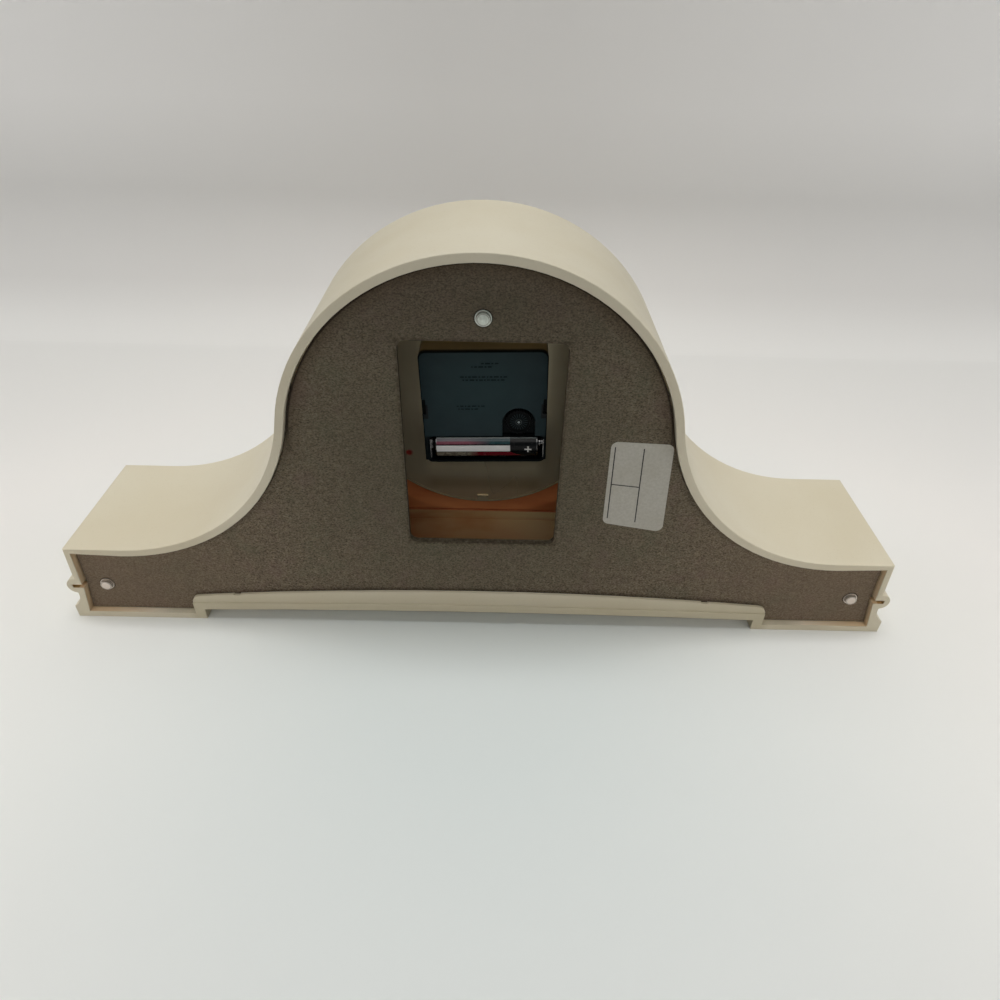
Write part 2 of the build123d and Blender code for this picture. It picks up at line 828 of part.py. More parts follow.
with BuildPart() as brass_washer:
    rod(washer_depth, nut_depth, dial_centre, washer_radius, bush_radius)
keep(brass_washer, "brass_washer")

with BuildPart() as bush_nut:
    with BuildSketch(layer(nut_depth)):
        with Locations(dial_centre):
            RegularPolygon(nut_width / 2, 6, major_radius=False)
            Circle(bush_radius, mode=Mode.SUBTRACT)
    extrude(amount=nut_height)
    chamfer(edges().filter_by(GeomType.LINE).group_by(Axis.Y)[0], length=sheet / 2)
keep(bush_nut, "bush_nut")


def hand_angle(turn_share):
    """The angle from the right of a hand that has gone a share of a turn from twelve."""
    return degrees(pi / 2 - 2 * pi * turn_share)


minute_angle = hand_angle(minute_turn_share)
hour_angle = hand_angle(hour_turn_share)
seconds_angle = hand_angle(seconds_turn_share)


def spade_hand(depth, length, spade_width, bore, angle):
    """Adds a flat spade hand: boss, stem, leaf-shaped spade and a fine point."""
    stem_end = length * spade_start_share
    belly = length * spade_belly_share
    neck = length * spade_end_share
    half_neck = hand_neck_width / 2
    half_point = hand_point_width / 2
    with BuildSketch(mode=Mode.PRIVATE) as flat:
        with BuildLine() as edge_line:
            Line((0, half_neck * 1.3), (stem_end, half_neck * 0.8))
            ThreePointArc((stem_end, half_neck * 0.8), (belly, spade_width / 2), (neck, half_point * 1.6))
            Line((neck, half_point * 1.6), (length, half_point * 0.5))
            Line((length, half_point * 0.5), (length, 0))
            mirror(about=Plane.XZ)
            Line((0, half_neck * 1.3), (0, -half_neck * 1.3))
        make_face()
        Circle(hand_boss_radius)
        Circle(bore, mode=Mode.SUBTRACT)
    with BuildSketch(layer(depth)) as placed:
        with Locations(Location((dial_centre[0], dial_centre[1], 0), (0, 0, angle))):
            add(flat.sketch)
    extrude(placed.sketch, amount=hand_thickness)


with BuildPart() as hour_hand:
    spade_hand(hour_hand_depth, hour_hand_length, hour_spade_width, hour_pipe_radius, hour_angle)
keep(hour_hand, "hour_hand")

with BuildPart() as minute_hand:
    spade_hand(minute_hand_depth, minute_hand_length, minute_spade_width, minute_pipe_radius, minute_angle)
keep(minute_hand, "minute_hand")

with BuildPart() as hand_nut:
    with BuildSketch(layer(minute_hand_depth + hand_thickness)):
        with Locations(dial_centre):
            Circle(hand_nut_radius)
            Circle(minute_pipe_radius, mode=Mode.SUBTRACT)
            with PolarLocations(hand_nut_radius, knob_flutes):
                Circle(hand_point_width / 4, mode=Mode.SUBTRACT)
    extrude(amount=hand_nut_height)
keep(hand_nut, "hand_nut")

with BuildPart() as seconds_hand:
    with BuildSketch(mode=Mode.PRIVATE) as sliver:
        with BuildLine():
            Polyline(
                (-seconds_tail_length, -seconds_width),
                (seconds_hand_length, -seconds_width / 4),
                (seconds_hand_length, seconds_width / 4),
                (-seconds_tail_length, seconds_width),
                close=True,
            )
        make_face()
        Circle(hand_nut_radius * 0.7)
        with Locations((-seconds_tail_length, 0)):
            Circle(seconds_width * 1.8)
        Circle(seconds_arbor_radius, mode=Mode.SUBTRACT)
    with BuildSketch(layer(seconds_hand_depth)) as placed_sliver:
        with Locations(Location((dial_centre[0], dial_centre[1], 0), (0, 0, seconds_angle))):
            add(sliver.sketch)
    extrude(placed_sliver.sketch, amount=hand_thickness)
keep(seconds_hand, "seconds_hand")


# Movement's case
left_x = movement_x - half_movement
right_x = movement_x + half_movement
bay_left = left_x + shell
bay_right = right_x - bay_end_wall
latch_z = dial_height + latch_above_dial
coil_left = coil_x - coil_length / 2
coil_right = coil_x + coil_length / 2
near_x = coil_left - stator_width / 2 - running_fit
leg_x = coil_right + stator_width / 2 + running_fit
latch_low = latch_z - latch_height / 2
latch_high = latch_z + latch_height / 2
arbor_centres = (third_centre, middle_centre, rotor_centre, minute_centre)


def outer_box(start, end):
    """Adds the movement's rounded outer block between two depths."""
    slab(start, end, (left_x, movement_bottom), (right_x, movement_top), movement_corner_radius)


def pocket(start, end, low, high):
    """Cuts a pocket with rounded corners between two depths and two corners."""
    slab(start, end, low, high, movement_corner_radius - shell, Mode.SUBTRACT)


def gear_room(start, end):
    """Cuts the movement's upper pocket, which holds the wheels."""
    pocket(start, end, (left_x + shell, bay_top + shell), (right_x - shell, movement_top - shell))


def battery_bay(start, end):
    """Cuts the movement's lower pocket, which holds the cell."""
    pocket(start, end, (bay_left, bay_bottom), (bay_right, bay_top))


# Housing: the front half, with the shaft's hole, pivot holes, battery bay and two latches
with BuildPart() as movement_housing:
    outer_box(split_depth, movement_front_depth)
    gear_room(split_depth - cut, housing_inner)
    battery_bay(split_depth - cut, housing_inner)
    hole(housing_inner - cut, movement_front_depth + cut, dial_centre, bush_radius)
    for centre in (*arbor_centres, knob_centre):
        hole(housing_inner - cut, pivot_front + running_fit, centre, boss_hole_radius)
    for inner_x, outer_x in ((left_x, left_x + latch_thickness), (right_x - latch_thickness, right_x)):
        slab(movement_back_depth + latch_short, split_depth + shell,
             (inner_x, latch_low + latch_fit), (outer_x, latch_high - latch_fit))
    for inner_x, outer_x in ((bay_left, bay_left + movement_corner_radius),
                             (bay_right - movement_corner_radius, bay_right)):
        slab(strip_depth - strip_slot, strip_depth + strip_width + strip_slot,
             (inner_x, bay_top - movement_corner_radius),
             (outer_x, bay_top + shell + movement_corner_radius), 0, Mode.SUBTRACT)
    for x in (circuit_x - circuit_width / 2 + standoff_in, circuit_x + circuit_width / 2 - standoff_in):
        rod(circuit_depth + circuit_thickness, housing_inner, (x, circuit_z), standoff_radius)
    for x in (near_x, leg_x):
        rod(coil_depth + stator_thickness / 2, housing_inner, (x, coil_z), standoff_radius)
keep(movement_housing, "movement_housing", movement_turn_share)


# Cover: the rear half, with pivot bosses, the open battery bay and the knob's recess, which joins the bay
recess_floor = movement_back_depth + knob_recess_depth
recess_outer = knob_recess_radius + knob_recess_wall
with BuildPart() as movement_cover:
    outer_box(movement_back_depth, split_depth)
    fillet(faces().sort_by(Axis.Y)[-1].edges(), radius=shell / 2)
    gear_room(cover_inner, split_depth + cut)
    for centre in arbor_centres:
        rod(cover_inner - shell / 2, cover_inner + pivot_boss_height, centre, pivot_boss_radius)
        hole(pivot_back - running_fit, cover_inner + pivot_boss_height + cut, centre, boss_hole_radius)
    rod(cover_inner - shell / 2, cover_inner + pivot_boss_height, dial_centre, pivot_boss_radius)
    hole(pivot_back - running_fit, cover_inner + pivot_boss_height + cut, dial_centre,
         seconds_arbor_radius + running_fit)
    rod(cover_inner - shell / 2, recess_floor + shell, knob_centre, recess_outer)
    slab(cover_inner - shell / 2, recess_floor + shell,
         (knob_x - recess_outer, bay_top), (knob_x + recess_outer, knob_z))
    battery_bay(movement_back_depth - cut, split_depth + cut)
    hole(movement_back_depth - cut, recess_floor, knob_centre, knob_recess_radius)
    slab(movement_back_depth - cut, recess_floor,
         (knob_x - knob_recess_radius, bay_top - cut), (knob_x + knob_recess_radius, knob_z), 0,
         Mode.SUBTRACT)
    hole(movement_back_depth, split_depth, knob_centre, knob_stem_radius + running_fit)
    slab(movement_back_depth - cut, movement_back_depth + bay_cut,
         (left_x - cut, movement_bottom - cut),
         (right_x + cut, bay_bottom + movement_corner_radius - shell), 0, Mode.SUBTRACT)
    for inner_x, outer_x in ((left_x - cut, left_x + latch_thickness + latch_fit),
                             (right_x - latch_thickness - latch_fit, right_x + cut)):
        slab(movement_back_depth - cut, split_depth + cut, (inner_x, latch_low), (outer_x, latch_high), 0,
             Mode.SUBTRACT)
keep(movement_cover, "movement_cover", movement_turn_share)


# Battery: the can with its positive nub, and the printed jacket round it
cell_start = cell_end_x
cell_plane = Plane(origin=(cell_start, back_y - cell_depth, cell_z), x_dir=(0, 1, 0), z_dir=(-1, 0, 0))
with BuildPart() as battery_cell:
    with BuildSketch(cell_plane):
        Circle(cell_radius - jacket_thickness)
    extrude(amount=cell_length)
    fillet(edges().group_by(Axis.X)[0] + edges().group_by(Axis.X)[-1], radius=cell_edge_radius)
    with BuildSketch(cell_plane.offset(cell_length)):
        Circle(cell_nub_radius)
    extrude(amount=cell_nub_length)
keep(battery_cell, "battery_cell", movement_turn_share)

with BuildPart() as battery_jacket:
    with BuildSketch(cell_plane.offset(jacket_end)):
        Circle(cell_radius)
        Circle(cell_radius - jacket_thickness, mode=Mode.SUBTRACT)
    extrude(amount=cell_length - 2 * jacket_end)
keep(battery_jacket, "battery_jacket", movement_turn_share)


# Contacts: a conical coil spring on its plate, and a plate with a bump for the nub
spring_start = bay_right - contact_thickness - spring_wire / 4
spring_end = cell_end_x + contact_gap + spring_wire / 2


def spring_point(turn):
    """A place on the spring's centre line, a number of turns from its plate."""
    share = turn / spring_turns
    radius = spring_base_radius + (spring_tip_radius - spring_base_radius) * share
    return Vector(
        spring_start + (spring_end - spring_start) * share,
        back_y - cell_depth + radius * cos(2 * pi * turn),
        cell_z + radius * sin(2 * pi * turn),
    )


def spring_tangent(turn):
    """The direction of the spring's centre line there."""
    radius = spring_base_radius + (spring_tip_radius - spring_base_radius) * turn / spring_turns
    narrowing = (spring_tip_radius - spring_base_radius) / spring_turns
    return Vector(
        (spring_end - spring_start) / spring_turns,
        narrowing * cos(2 * pi * turn) - 2 * pi * radius * sin(2 * pi * turn),
        narrowing * sin(2 * pi * turn) + 2 * pi * radius * cos(2 * pi * turn),
    ).normalized()


def biarc(start, start_way, end, end_way):
    """Draws two arcs that meet smoothly between two places and their directions."""
    chord = end - start
    both = start_way + end_way
    spread = 2 * (1 - start_way.dot(end_way))
    reach = (sqrt(chord.dot(both) ** 2 + spread * chord.dot(chord)) - chord.dot(both)) / spread
    middle = (start + end + (start_way - end_way) * reach) * 0.5
    middle_way = (middle - (start + start_way * reach)).normalized()
    TangentArc(start, middle, tangent=start_way)
    TangentArc(middle, end, tangent=middle_way)


# Quarter turns of the spring, and the least gap between its turns
quarters = [quarter / 4 for quarter in range(4 * spring_turns)]
spring_fine = [turn + step / 16 for turn in quarters for step in range(4)]
spring_gap = min(
    (spring_point(far) - spring_point(near)).length - spring_wire
    for near in spring_fine
    for far in spring_fine
    if far - near > 1 / 2
)
print(f"least gap between the spring's turns: {spring_gap:.2f} mm")

with BuildPart() as negative_contact:
    with BuildSketch(cell_plane.offset(cell_end_x - bay_right)):
        Rectangle(contact_width * 2, contact_width * 1.7)
    extrude(amount=contact_thickness)
    with BuildLine() as coil_path:
        for quarter in quarters:
            biarc(spring_point(quarter), spring_tangent(quarter),
                  spring_point(quarter + 1 / 4), spring_tangent(quarter + 1 / 4))
    with BuildSketch(Plane(origin=spring_point(0), z_dir=spring_tangent(0))) as wire:
        Circle(spring_wire / 2)
    sweep(wire.sketch, path=coil_path.wires()[0])
keep(negative_contact, "negative_contact", movement_turn_share)

with BuildPart() as positive_contact:
    slab(cell_depth - contact_width, cell_depth + contact_width,
         (bay_left, cell_z - contact_width * 0.8),
         (bay_left + contact_thickness, cell_z + contact_width * 0.8))
    with BuildSketch(Plane(origin=(bay_left, back_y - cell_depth, cell_z), x_dir=(0, 1, 0), z_dir=(1, 0, 0))):
        Circle(contact_bump_radius)
    extrude(amount=cell_end_x - cell_length - cell_nub_length - contact_gap - bay_left)
    slab(strip_depth, strip_depth + strip_width,
         (bay_left, cell_z + contact_width * 0.8), (bay_left + strip_thickness, circuit_z))
    slab(circuit_depth - strip_thickness, circuit_depth,
         (bay_left, circuit_z - strip_width), (circuit_x - circuit_width / 2 + strip_width / 2, circuit_z))
keep(positive_contact, "positive_contact", movement_turn_share)

with BuildPart() as negative_strip:
    bay_roof = bay_top + shell
    slab(strip_depth, strip_depth + strip_width,
         (bay_right - strip_thickness, cell_z + contact_width * 0.85),
         (bay_right, bay_roof + strip_thickness))
    slab(strip_depth, strip_depth + strip_width,
         (strip_x, bay_roof), (bay_right, bay_roof + strip_thickness))
    slab(strip_depth + strip_width - strip_thickness, housing_inner,
         (strip_x, bay_roof), (strip_x + strip_width, bay_roof + strip_thickness))
    slab(housing_inner - strip_thickness, housing_inner,
         (strip_x, bay_roof), (strip_x + strip_width, circuit_z - circuit_height / 2 + strip_thickness))
    slab(circuit_depth + circuit_thickness, housing_inner,
         (strip_x, circuit_z - circuit_height / 2),
         (strip_x + strip_width, circuit_z - circuit_height / 2 + strip_thickness))
keep(negative_strip, "negative_strip", movement_turn_share)


# Going train, from the motor to the seconds and on to the centre wheel
seconds_phase = seconds_angle
seconds_pinion_phase = seconds_angle
third_phase = meshed(seconds_pinion_phase, pinion_teeth, dial_centre, third_teeth, third_centre)
third_pinion_phase = third_phase
centre_phase = meshed(third_pinion_phase, pinion_teeth, third_centre, centre_teeth, dial_centre)
middle_pinion_phase = meshed(seconds_phase, seconds_teeth, dial_centre, pinion_teeth, middle_centre)
middle_phase = middle_pinion_phase
rotor_phase = meshed(middle_phase, middle_teeth, middle_centre, pinion_teeth, rotor_centre)

with BuildPart() as seconds_wheel:
    gear(seconds_wheel_depth, wheel_thickness, dial_centre, seconds_teeth, middle_module, seconds_phase)
    lighten(seconds_wheel_depth, dial_centre, hub_radius, middle_module * seconds_teeth / 2 - hub_radius / 2)
    gear(seconds_pinion_depth, seconds_pinion_length, dial_centre, pinion_teeth, seconds_module,
         seconds_pinion_phase)
    rod(seconds_wheel_depth, seconds_pinion_depth, dial_centre, seconds_module * pinion_teeth / 2)
    rod(pivot_back, seconds_tip_depth, dial_centre, seconds_arbor_radius)
keep(seconds_wheel, "seconds_wheel", movement_turn_share)

with BuildPart() as third_wheel:
    gear(third_wheel_depth, wheel_thickness, third_centre, third_teeth, seconds_module, third_phase)
    lighten(third_wheel_depth, third_centre, hub_radius, seconds_module * third_teeth / 2 - hub_radius / 2)
    gear(third_pinion_depth, third_pinion_length, third_centre, pinion_teeth, centre_module,
         third_pinion_phase)
    rod(third_wheel_depth, third_pinion_depth, third_centre, centre_module * pinion_teeth / 2)
    rod(pivot_back, pivot_front, third_centre, arbor_radius)
keep(third_wheel, "third_wheel", movement_turn_share)

with BuildPart() as centre_wheel:
    gear(centre_wheel_depth, wheel_thickness, dial_centre, centre_teeth, centre_module, centre_phase,
         minute_pipe_radius + running_fit)
    lighten(centre_wheel_depth, dial_centre, hub_radius * 1.5,
            centre_module * centre_teeth / 2 - hub_radius / 2)
keep(centre_wheel, "centre_wheel", movement_turn_share)

with BuildPart() as intermediate_wheel:
    gear(middle_wheel_depth, wheel_thickness, middle_centre, middle_teeth, rotor_module, middle_phase)
    gear(middle_pinion_depth, middle_pinion_length, middle_centre, pinion_teeth, middle_module,
         middle_pinion_phase)
    rod(middle_wheel_depth, middle_pinion_depth, middle_centre, middle_module * pinion_teeth / 2)
    rod(pivot_back, pivot_front, middle_centre, arbor_radius)
keep(intermediate_wheel, "intermediate_wheel", movement_turn_share)

with BuildPart() as rotor_pinion:
    gear(rotor_pinion_depth, rotor_pinion_length, rotor_centre, pinion_teeth, rotor_module, rotor_phase)
    rod(pivot_back, pivot_front, rotor_centre, arbor_radius)
keep(rotor_pinion, "rotor_pinion", movement_turn_share)

with BuildPart() as rotor_magnet:
    rod(magnet_depth, magnet_depth + magnet_length, rotor_centre, magnet_radius, arbor_radius)
keep(rotor_magnet, "rotor_magnet", movement_turn_share)


# Motion work: minute pipe, minute wheel, hour wheel and the knob that sets them
cannon_phase = minute_angle
minute_phase = meshed(cannon_phase, cannon_teeth, dial_centre, minute_teeth, minute_centre)
motion_phase = minute_phase
hour_phase = meshed(motion_phase, motion_pinion_teeth, minute_centre, hour_teeth, dial_centre)
knob_phase = meshed(minute_phase, minute_teeth, minute_centre, knob_pinion_teeth, knob_centre)

with BuildPart() as minute_pipe:
    gear(cannon_depth, cannon_length, dial_centre, cannon_teeth, motion_module, cannon_phase, minute_bore)
    rod(minute_pipe_back_depth, minute_pipe_depth, dial_centre, minute_pipe_radius, minute_bore)
keep(minute_pipe, "minute_pipe", movement_turn_share)

with BuildPart() as minute_wheel:
    gear(minute_wheel_depth, wheel_thickness, minute_centre, minute_teeth, motion_module, minute_phase)
    gear(minute_wheel_depth + wheel_thickness, motion_pinion_length, minute_centre, motion_pinion_teeth,
         motion_module, motion_phase)
    rod(pivot_back, pivot_front, minute_centre, arbor_radius)
keep(minute_wheel, "minute_wheel", movement_turn_share)

with BuildPart() as hour_wheel:
    gear(hour_wheel_depth, wheel_thickness, dial_centre, hour_teeth, motion_module, hour_phase, hour_bore)
    lighten(hour_wheel_depth, dial_centre, hub_radius * 1.6, motion_module * hour_teeth / 2 - hub_radius / 2)
    rod(hour_wheel_depth, hour_pipe_depth, dial_centre, hour_pipe_radius, hour_bore)
keep(hour_wheel, "hour_wheel", movement_turn_share)

with BuildPart() as setting_knob:
    knob_face = movement_back_depth + knob_sunk
    rod(knob_face, knob_face + knob_height, knob_centre, knob_radius)
    with BuildSketch(layer(knob_face - cut)) as flutes:
        with Locations(knob_centre):
            with PolarLocations(knob_radius, knob_flutes):
                Circle(knob_flute_radius)
    extrude(flutes.sketch, amount=knob_height + 2 * cut, mode=Mode.SUBTRACT)
    hole(knob_face - cut, knob_face + knob_dish, knob_centre, knob_radius - knob_rim)
    rod(knob_face, knob_pinion_depth, knob_centre, knob_stem_radius)
    gear(knob_pinion_depth, knob_pinion_length, knob_centre, knob_pinion_teeth, motion_module, knob_phase)
    rod(knob_pinion_depth, pivot_front, knob_centre, arbor_radius)
keep(setting_knob, "setting_knob", movement_turn_share)


# Stepping motor: bobbin, winding and stator
coil_plane = Plane(origin=(coil_left, back_y - coil_depth, coil_z), x_dir=(0, 1, 0), z_dir=(1, 0, 0))
core_gap = running_fit
bobbin_radius = hypot(core_width, stator_thickness) / 2 + bobbin_wall

with BuildPart() as coil_bobbin:
    with BuildSketch(coil_plane):
        Circle(bobbin_radius)
    extrude(amount=coil_length)
    for start in (0, coil_length - bobbin_flange_thickness):
        with BuildSketch(coil_plane.offset(start)) as flange:
            Rectangle(bobbin_flange, bobbin_flange)
        extrude(flange.sketch, amount=bobbin_flange_thickness)
    with BuildSketch(coil_plane.offset(-cut)) as core_slot:
        Rectangle(stator_thickness + 2 * core_gap, core_width + 2 * core_gap)
    extrude(core_slot.sketch, amount=coil_length + 2 * cut, mode=Mode.SUBTRACT)
keep(coil_bobbin, "coil_bobbin", movement_turn_share)

with BuildPart() as coil_winding:
    with BuildSketch(coil_plane.offset(bobbin_flange_thickness)):
        Circle(coil_radius)
        Circle(bobbin_radius, mode=Mode.SUBTRACT)
    extrude(amount=coil_length - 2 * bobbin_flange_thickness)
keep(coil_winding, "coil_winding", movement_turn_share)

with BuildPart() as stator:
    with BuildSketch(layer(coil_depth - stator_thickness / 2)) as stator_plan:
        with Locations(((leg_x + near_x) / 2, coil_z)):
            Rectangle(leg_x - near_x, core_width)
        for x in (leg_x, near_x):
            with Locations((x, coil_z - (stator_leg - stator_width) / 2)):
                Rectangle(stator_width, stator_leg)
            knee = (x, coil_z - stator_leg + stator_width / 2)
            lean = bearing(rotor_centre, knee)
            span = hypot(knee[0] - rotor_centre[0], knee[1] - rotor_centre[1])
            with Locations(polar(rotor_centre, span / 2, lean)):
                Rectangle(span, stator_width, rotation=lean)
        with Locations(rotor_centre):
            Circle(stator_ring_radius)
            Circle(stator_bore, mode=Mode.SUBTRACT)
    extrude(stator_plan.sketch, amount=stator_thickness)
keep(stator, "stator", movement_turn_share)


# Circuit board with its crystal and its chip under a drop of resin
with BuildPart() as circuit_board:
    slab(circuit_depth, circuit_depth + circuit_thickness,
         (circuit_x - circuit_width / 2, circuit_z - circuit_height / 2),
         (circuit_x + circuit_width / 2, circuit_z + circuit_height / 2))
keep(circuit_board, "circuit_board", movement_turn_share)

with BuildPart() as quartz_crystal:
    with BuildSketch(Plane(origin=(circuit_x, back_y - circuit_depth + crystal_radius,
                                   circuit_z + circuit_height / 4), x_dir=(0, 1, 0), z_dir=(1, 0, 0))):
        Circle(crystal_radius)
    extrude(amount=crystal_length)
keep(quartz_crystal, "quartz_crystal", movement_turn_share)

with BuildPart() as control_chip:
    with BuildSketch(layer(circuit_depth - chip_height)):
        with Locations((circuit_x - circuit_width / 4, circuit_z)):
            Circle(chip_radius)
    extrude(amount=chip_height)
    fillet(edges().group_by(Axis.Y)[-1], radius=chip_height / 2)
keep(control_chip, "control_chip", movement_turn_share)
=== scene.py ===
import itertools
import json
import math

import bpy
from mathutils import Matrix, Vector


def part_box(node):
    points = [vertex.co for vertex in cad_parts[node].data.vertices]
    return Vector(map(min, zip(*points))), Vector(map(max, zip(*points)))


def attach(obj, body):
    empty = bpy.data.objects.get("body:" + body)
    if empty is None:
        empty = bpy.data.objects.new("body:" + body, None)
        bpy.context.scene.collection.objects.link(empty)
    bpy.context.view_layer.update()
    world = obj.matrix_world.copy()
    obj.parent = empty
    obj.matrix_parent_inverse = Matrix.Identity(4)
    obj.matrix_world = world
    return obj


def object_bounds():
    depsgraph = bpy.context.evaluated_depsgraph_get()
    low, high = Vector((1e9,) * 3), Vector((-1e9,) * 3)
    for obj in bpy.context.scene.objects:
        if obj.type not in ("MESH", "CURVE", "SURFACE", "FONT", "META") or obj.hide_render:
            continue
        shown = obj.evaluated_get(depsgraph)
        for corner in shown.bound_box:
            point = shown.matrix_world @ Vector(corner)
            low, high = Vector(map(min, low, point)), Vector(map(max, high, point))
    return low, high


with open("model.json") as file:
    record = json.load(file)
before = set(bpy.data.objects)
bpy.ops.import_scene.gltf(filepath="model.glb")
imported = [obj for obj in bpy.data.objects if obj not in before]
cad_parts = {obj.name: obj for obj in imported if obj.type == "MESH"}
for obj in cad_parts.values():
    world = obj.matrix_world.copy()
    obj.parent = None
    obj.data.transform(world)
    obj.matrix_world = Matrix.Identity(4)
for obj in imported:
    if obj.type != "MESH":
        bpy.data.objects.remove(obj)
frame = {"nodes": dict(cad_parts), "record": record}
cad_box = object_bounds()
COVER_Y = cad_box[1][1] - 0.0375  # the back face of the movement's cover, inside the case's back
DIAL_Z = 0.0988  # the height of the dial's axis, which runs along y at x = 0
HUMP_Z = 0.0982  # the height of the centre of the hump's arc
TURN = math.radians(1.7)  # the movement sits turned by this about the dial's axis
CAPS = ((0.1778, 0.0194), (-0.1778, 0.0194), (-0.001, 0.1565))  # the push caps' centres, as x and z
PRINT = 0.00002  # the height of printed lines and numbers


# Node materials

def lin(r, g, b):
    """A colour given in 0 to 255 as it looks, as the linear colour that shaders take."""
    def one(c):
        c = c / 255
        return c / 12.92 if c <= 0.04045 else ((c + 0.055) / 1.055) ** 2.4
    return (one(r), one(g), one(b), 1.0)


def scaled(colour, k):
    return (colour[0] * k, colour[1] * k, colour[2] * k, 1.0)


class Paint:
    """One node material round a Principled shader, read in the object's own metres."""

    def __init__(self, name, colour, rough, **more):
        self.mat = bpy.data.materials.new(name)
        self.mat.use_nodes = True
        self.tree = self.mat.node_tree
        self.shader = self.tree.nodes["Principled BSDF"]
        self.set("Base Color", colour)
        self.set("Roughness", rough)
        for key, value in more.items():
            self.set(key.replace("_", " "), value)
        self.place = self.node("ShaderNodeTexCoord").outputs["Object"]
        self.normal = None

    def node(self, kind, **settings):
        n = self.tree.nodes.new(kind)
        for key, value in settings.items():
            setattr(n, key, value)
        return n

    def link(self, a, b):
        self.tree.links.new(a, b)

    def put(self, socket, value):
        """Sets an input to a number or joins it to another node's output."""
        if hasattr(value, "is_output"):
            self.link(value, socket)
        else:
            socket.default_value = value

    def set(self, key, value):
        """Sets or joins one of the shader's own inputs."""
        self.put(self.shader.inputs[key], value)

    def math(self, op, a, b=0.0, clamp=False):
        n = self.node("ShaderNodeMath", operation=op, use_clamp=clamp)
        self.put(n.inputs[0], a)
        self.put(n.inputs[1], b)
        return n.outputs[0]

    def times(self, first, *others):
        """The product of masks and strengths."""
        for value in others:
            first = self.math("MULTIPLY", first, value)
        return first

    def length(self, a, b):
        """The long side of a right-angled triangle, from its two others."""
        return self.math("SQRT", self.math("ADD", self.math("POWER", a, 2.0), self.math("POWER", b, 2.0)))

    def axes(self):
        n = self.node("ShaderNodeSeparateXYZ")
        self.link(self.place, n.inputs[0])
        return n.outputs

    def moved(self, scale=(1, 1, 1), turn=(0, 0, 0)):
        n = self.node("ShaderNodeMapping")
        self.link(self.place, n.inputs["Vector"])
        n.inputs["Rotation"].default_value = turn
        n.inputs["Scale"].default_value = scale
        return n.outputs[0]

    def noise(self, scale, detail=2.0, rough=0.5, stretch=(1, 1, 1), turn=(0, 0, 0)):
        n = self.node("ShaderNodeTexNoise")
        self.link(self.moved(stretch, turn), n.inputs["Vector"])
        n.inputs["Scale"].default_value = scale
        n.inputs["Detail"].default_value = detail
        n.inputs["Roughness"].default_value = rough
        return n.outputs["Fac"]

    def cells(self, scale, feature="F1"):
        n = self.node("ShaderNodeTexVoronoi", feature=feature)
        self.link(self.moved(), n.inputs["Vector"])
        n.inputs["Scale"].default_value = scale
        return n.outputs["Distance"]

    def dot(self, centre, way):
        """How far a point lies from a centre along a direction."""
        total = None
        for axis, c, k in zip(self.axes(), centre, way):
            if k:
                part = self.math("MULTIPLY", self.math("SUBTRACT", axis, c), k)
                total = part if total is None else self.math("ADD", total, part)
        return total

    def radius(self, x0, z0):
        """The distance from an axis that runs along y."""
        x, _, z = self.axes()
        return self.length(self.math("SUBTRACT", x, x0), self.math("SUBTRACT", z, z0))

    def nearest_cap(self):
        """The distance from the axis of the nearest push cap."""
        first, *others = (self.radius(x0, z0) for x0, z0 in CAPS)
        for r in others:
            first = self.math("MINIMUM", first, r)
        return first

    def spread(self, value, low, high, to_low=0.0, to_high=1.0):
        """Maps the values from low to high to another range, held at its ends."""
        n = self.node("ShaderNodeMapRange")
        n.clamp = True
        self.put(n.inputs["Value"], value)
        for key, v in (("From Min", low), ("From Max", high), ("To Min", to_low), ("To Max", to_high)):
            n.inputs[key].default_value = v
        return n.outputs["Result"]

    def fall(self, value, low, high, top=1.0):
        """The top value up to low, and 0 from high on."""
        return self.spread(value, low, high, top, 0.0)

    def within(self, value, start, end, soft):
        """1 between two limits and 0 outside them, with soft edges."""
        rising = self.spread(value, start - soft, start + soft)
        falling = self.spread(value, end - soft, end + soft)
        return self.math("SUBTRACT", rising, falling, clamp=True)

    def blend(self, amount, a, b):
        n = self.node("ShaderNodeMix", data_type="RGBA")
        self.put(n.inputs["Factor"], amount)
        self.put(n.inputs[6], a)
        self.put(n.inputs[7], b)
        return n.outputs[2]

    def mottled(self, low, high, a, b, *noise):
        """Blends two colours by a noise between two of its levels."""
        return self.blend(self.spread(self.noise(*noise), low, high), a, b)

    def colour(self, value):
        self.set("Base Color", value)

    def over(self, amount, colour):
        """Lays a colour over the one that the shader already takes from nodes."""
        self.colour(self.blend(amount, self.shader.inputs["Base Color"].links[0].from_socket, colour))

    def rough(self, value):
        self.set("Roughness", value)

    def bump(self, height, depth, strength=1.0):
        """Adds a relief to the surface; depth is the height's real depth in metres."""
        n = self.node("ShaderNodeBump")
        n.inputs["Strength"].default_value = strength
        n.inputs["Distance"].default_value = depth
        self.link(height, n.inputs["Height"])
        if self.normal is not None:
            self.link(self.normal, n.inputs["Normal"])
        self.shade(n)

    def soft_edges(self, radius):
        """Rounds hard edges in the shading by a small real radius."""
        n = self.node("ShaderNodeBevel", samples=4)
        n.inputs["Radius"].default_value = radius
        self.shade(n)

    def shade(self, n):
        """Gives the shader a node's normal, on which a later relief is laid."""
        self.normal = n.outputs["Normal"]
        self.set("Normal", self.normal)


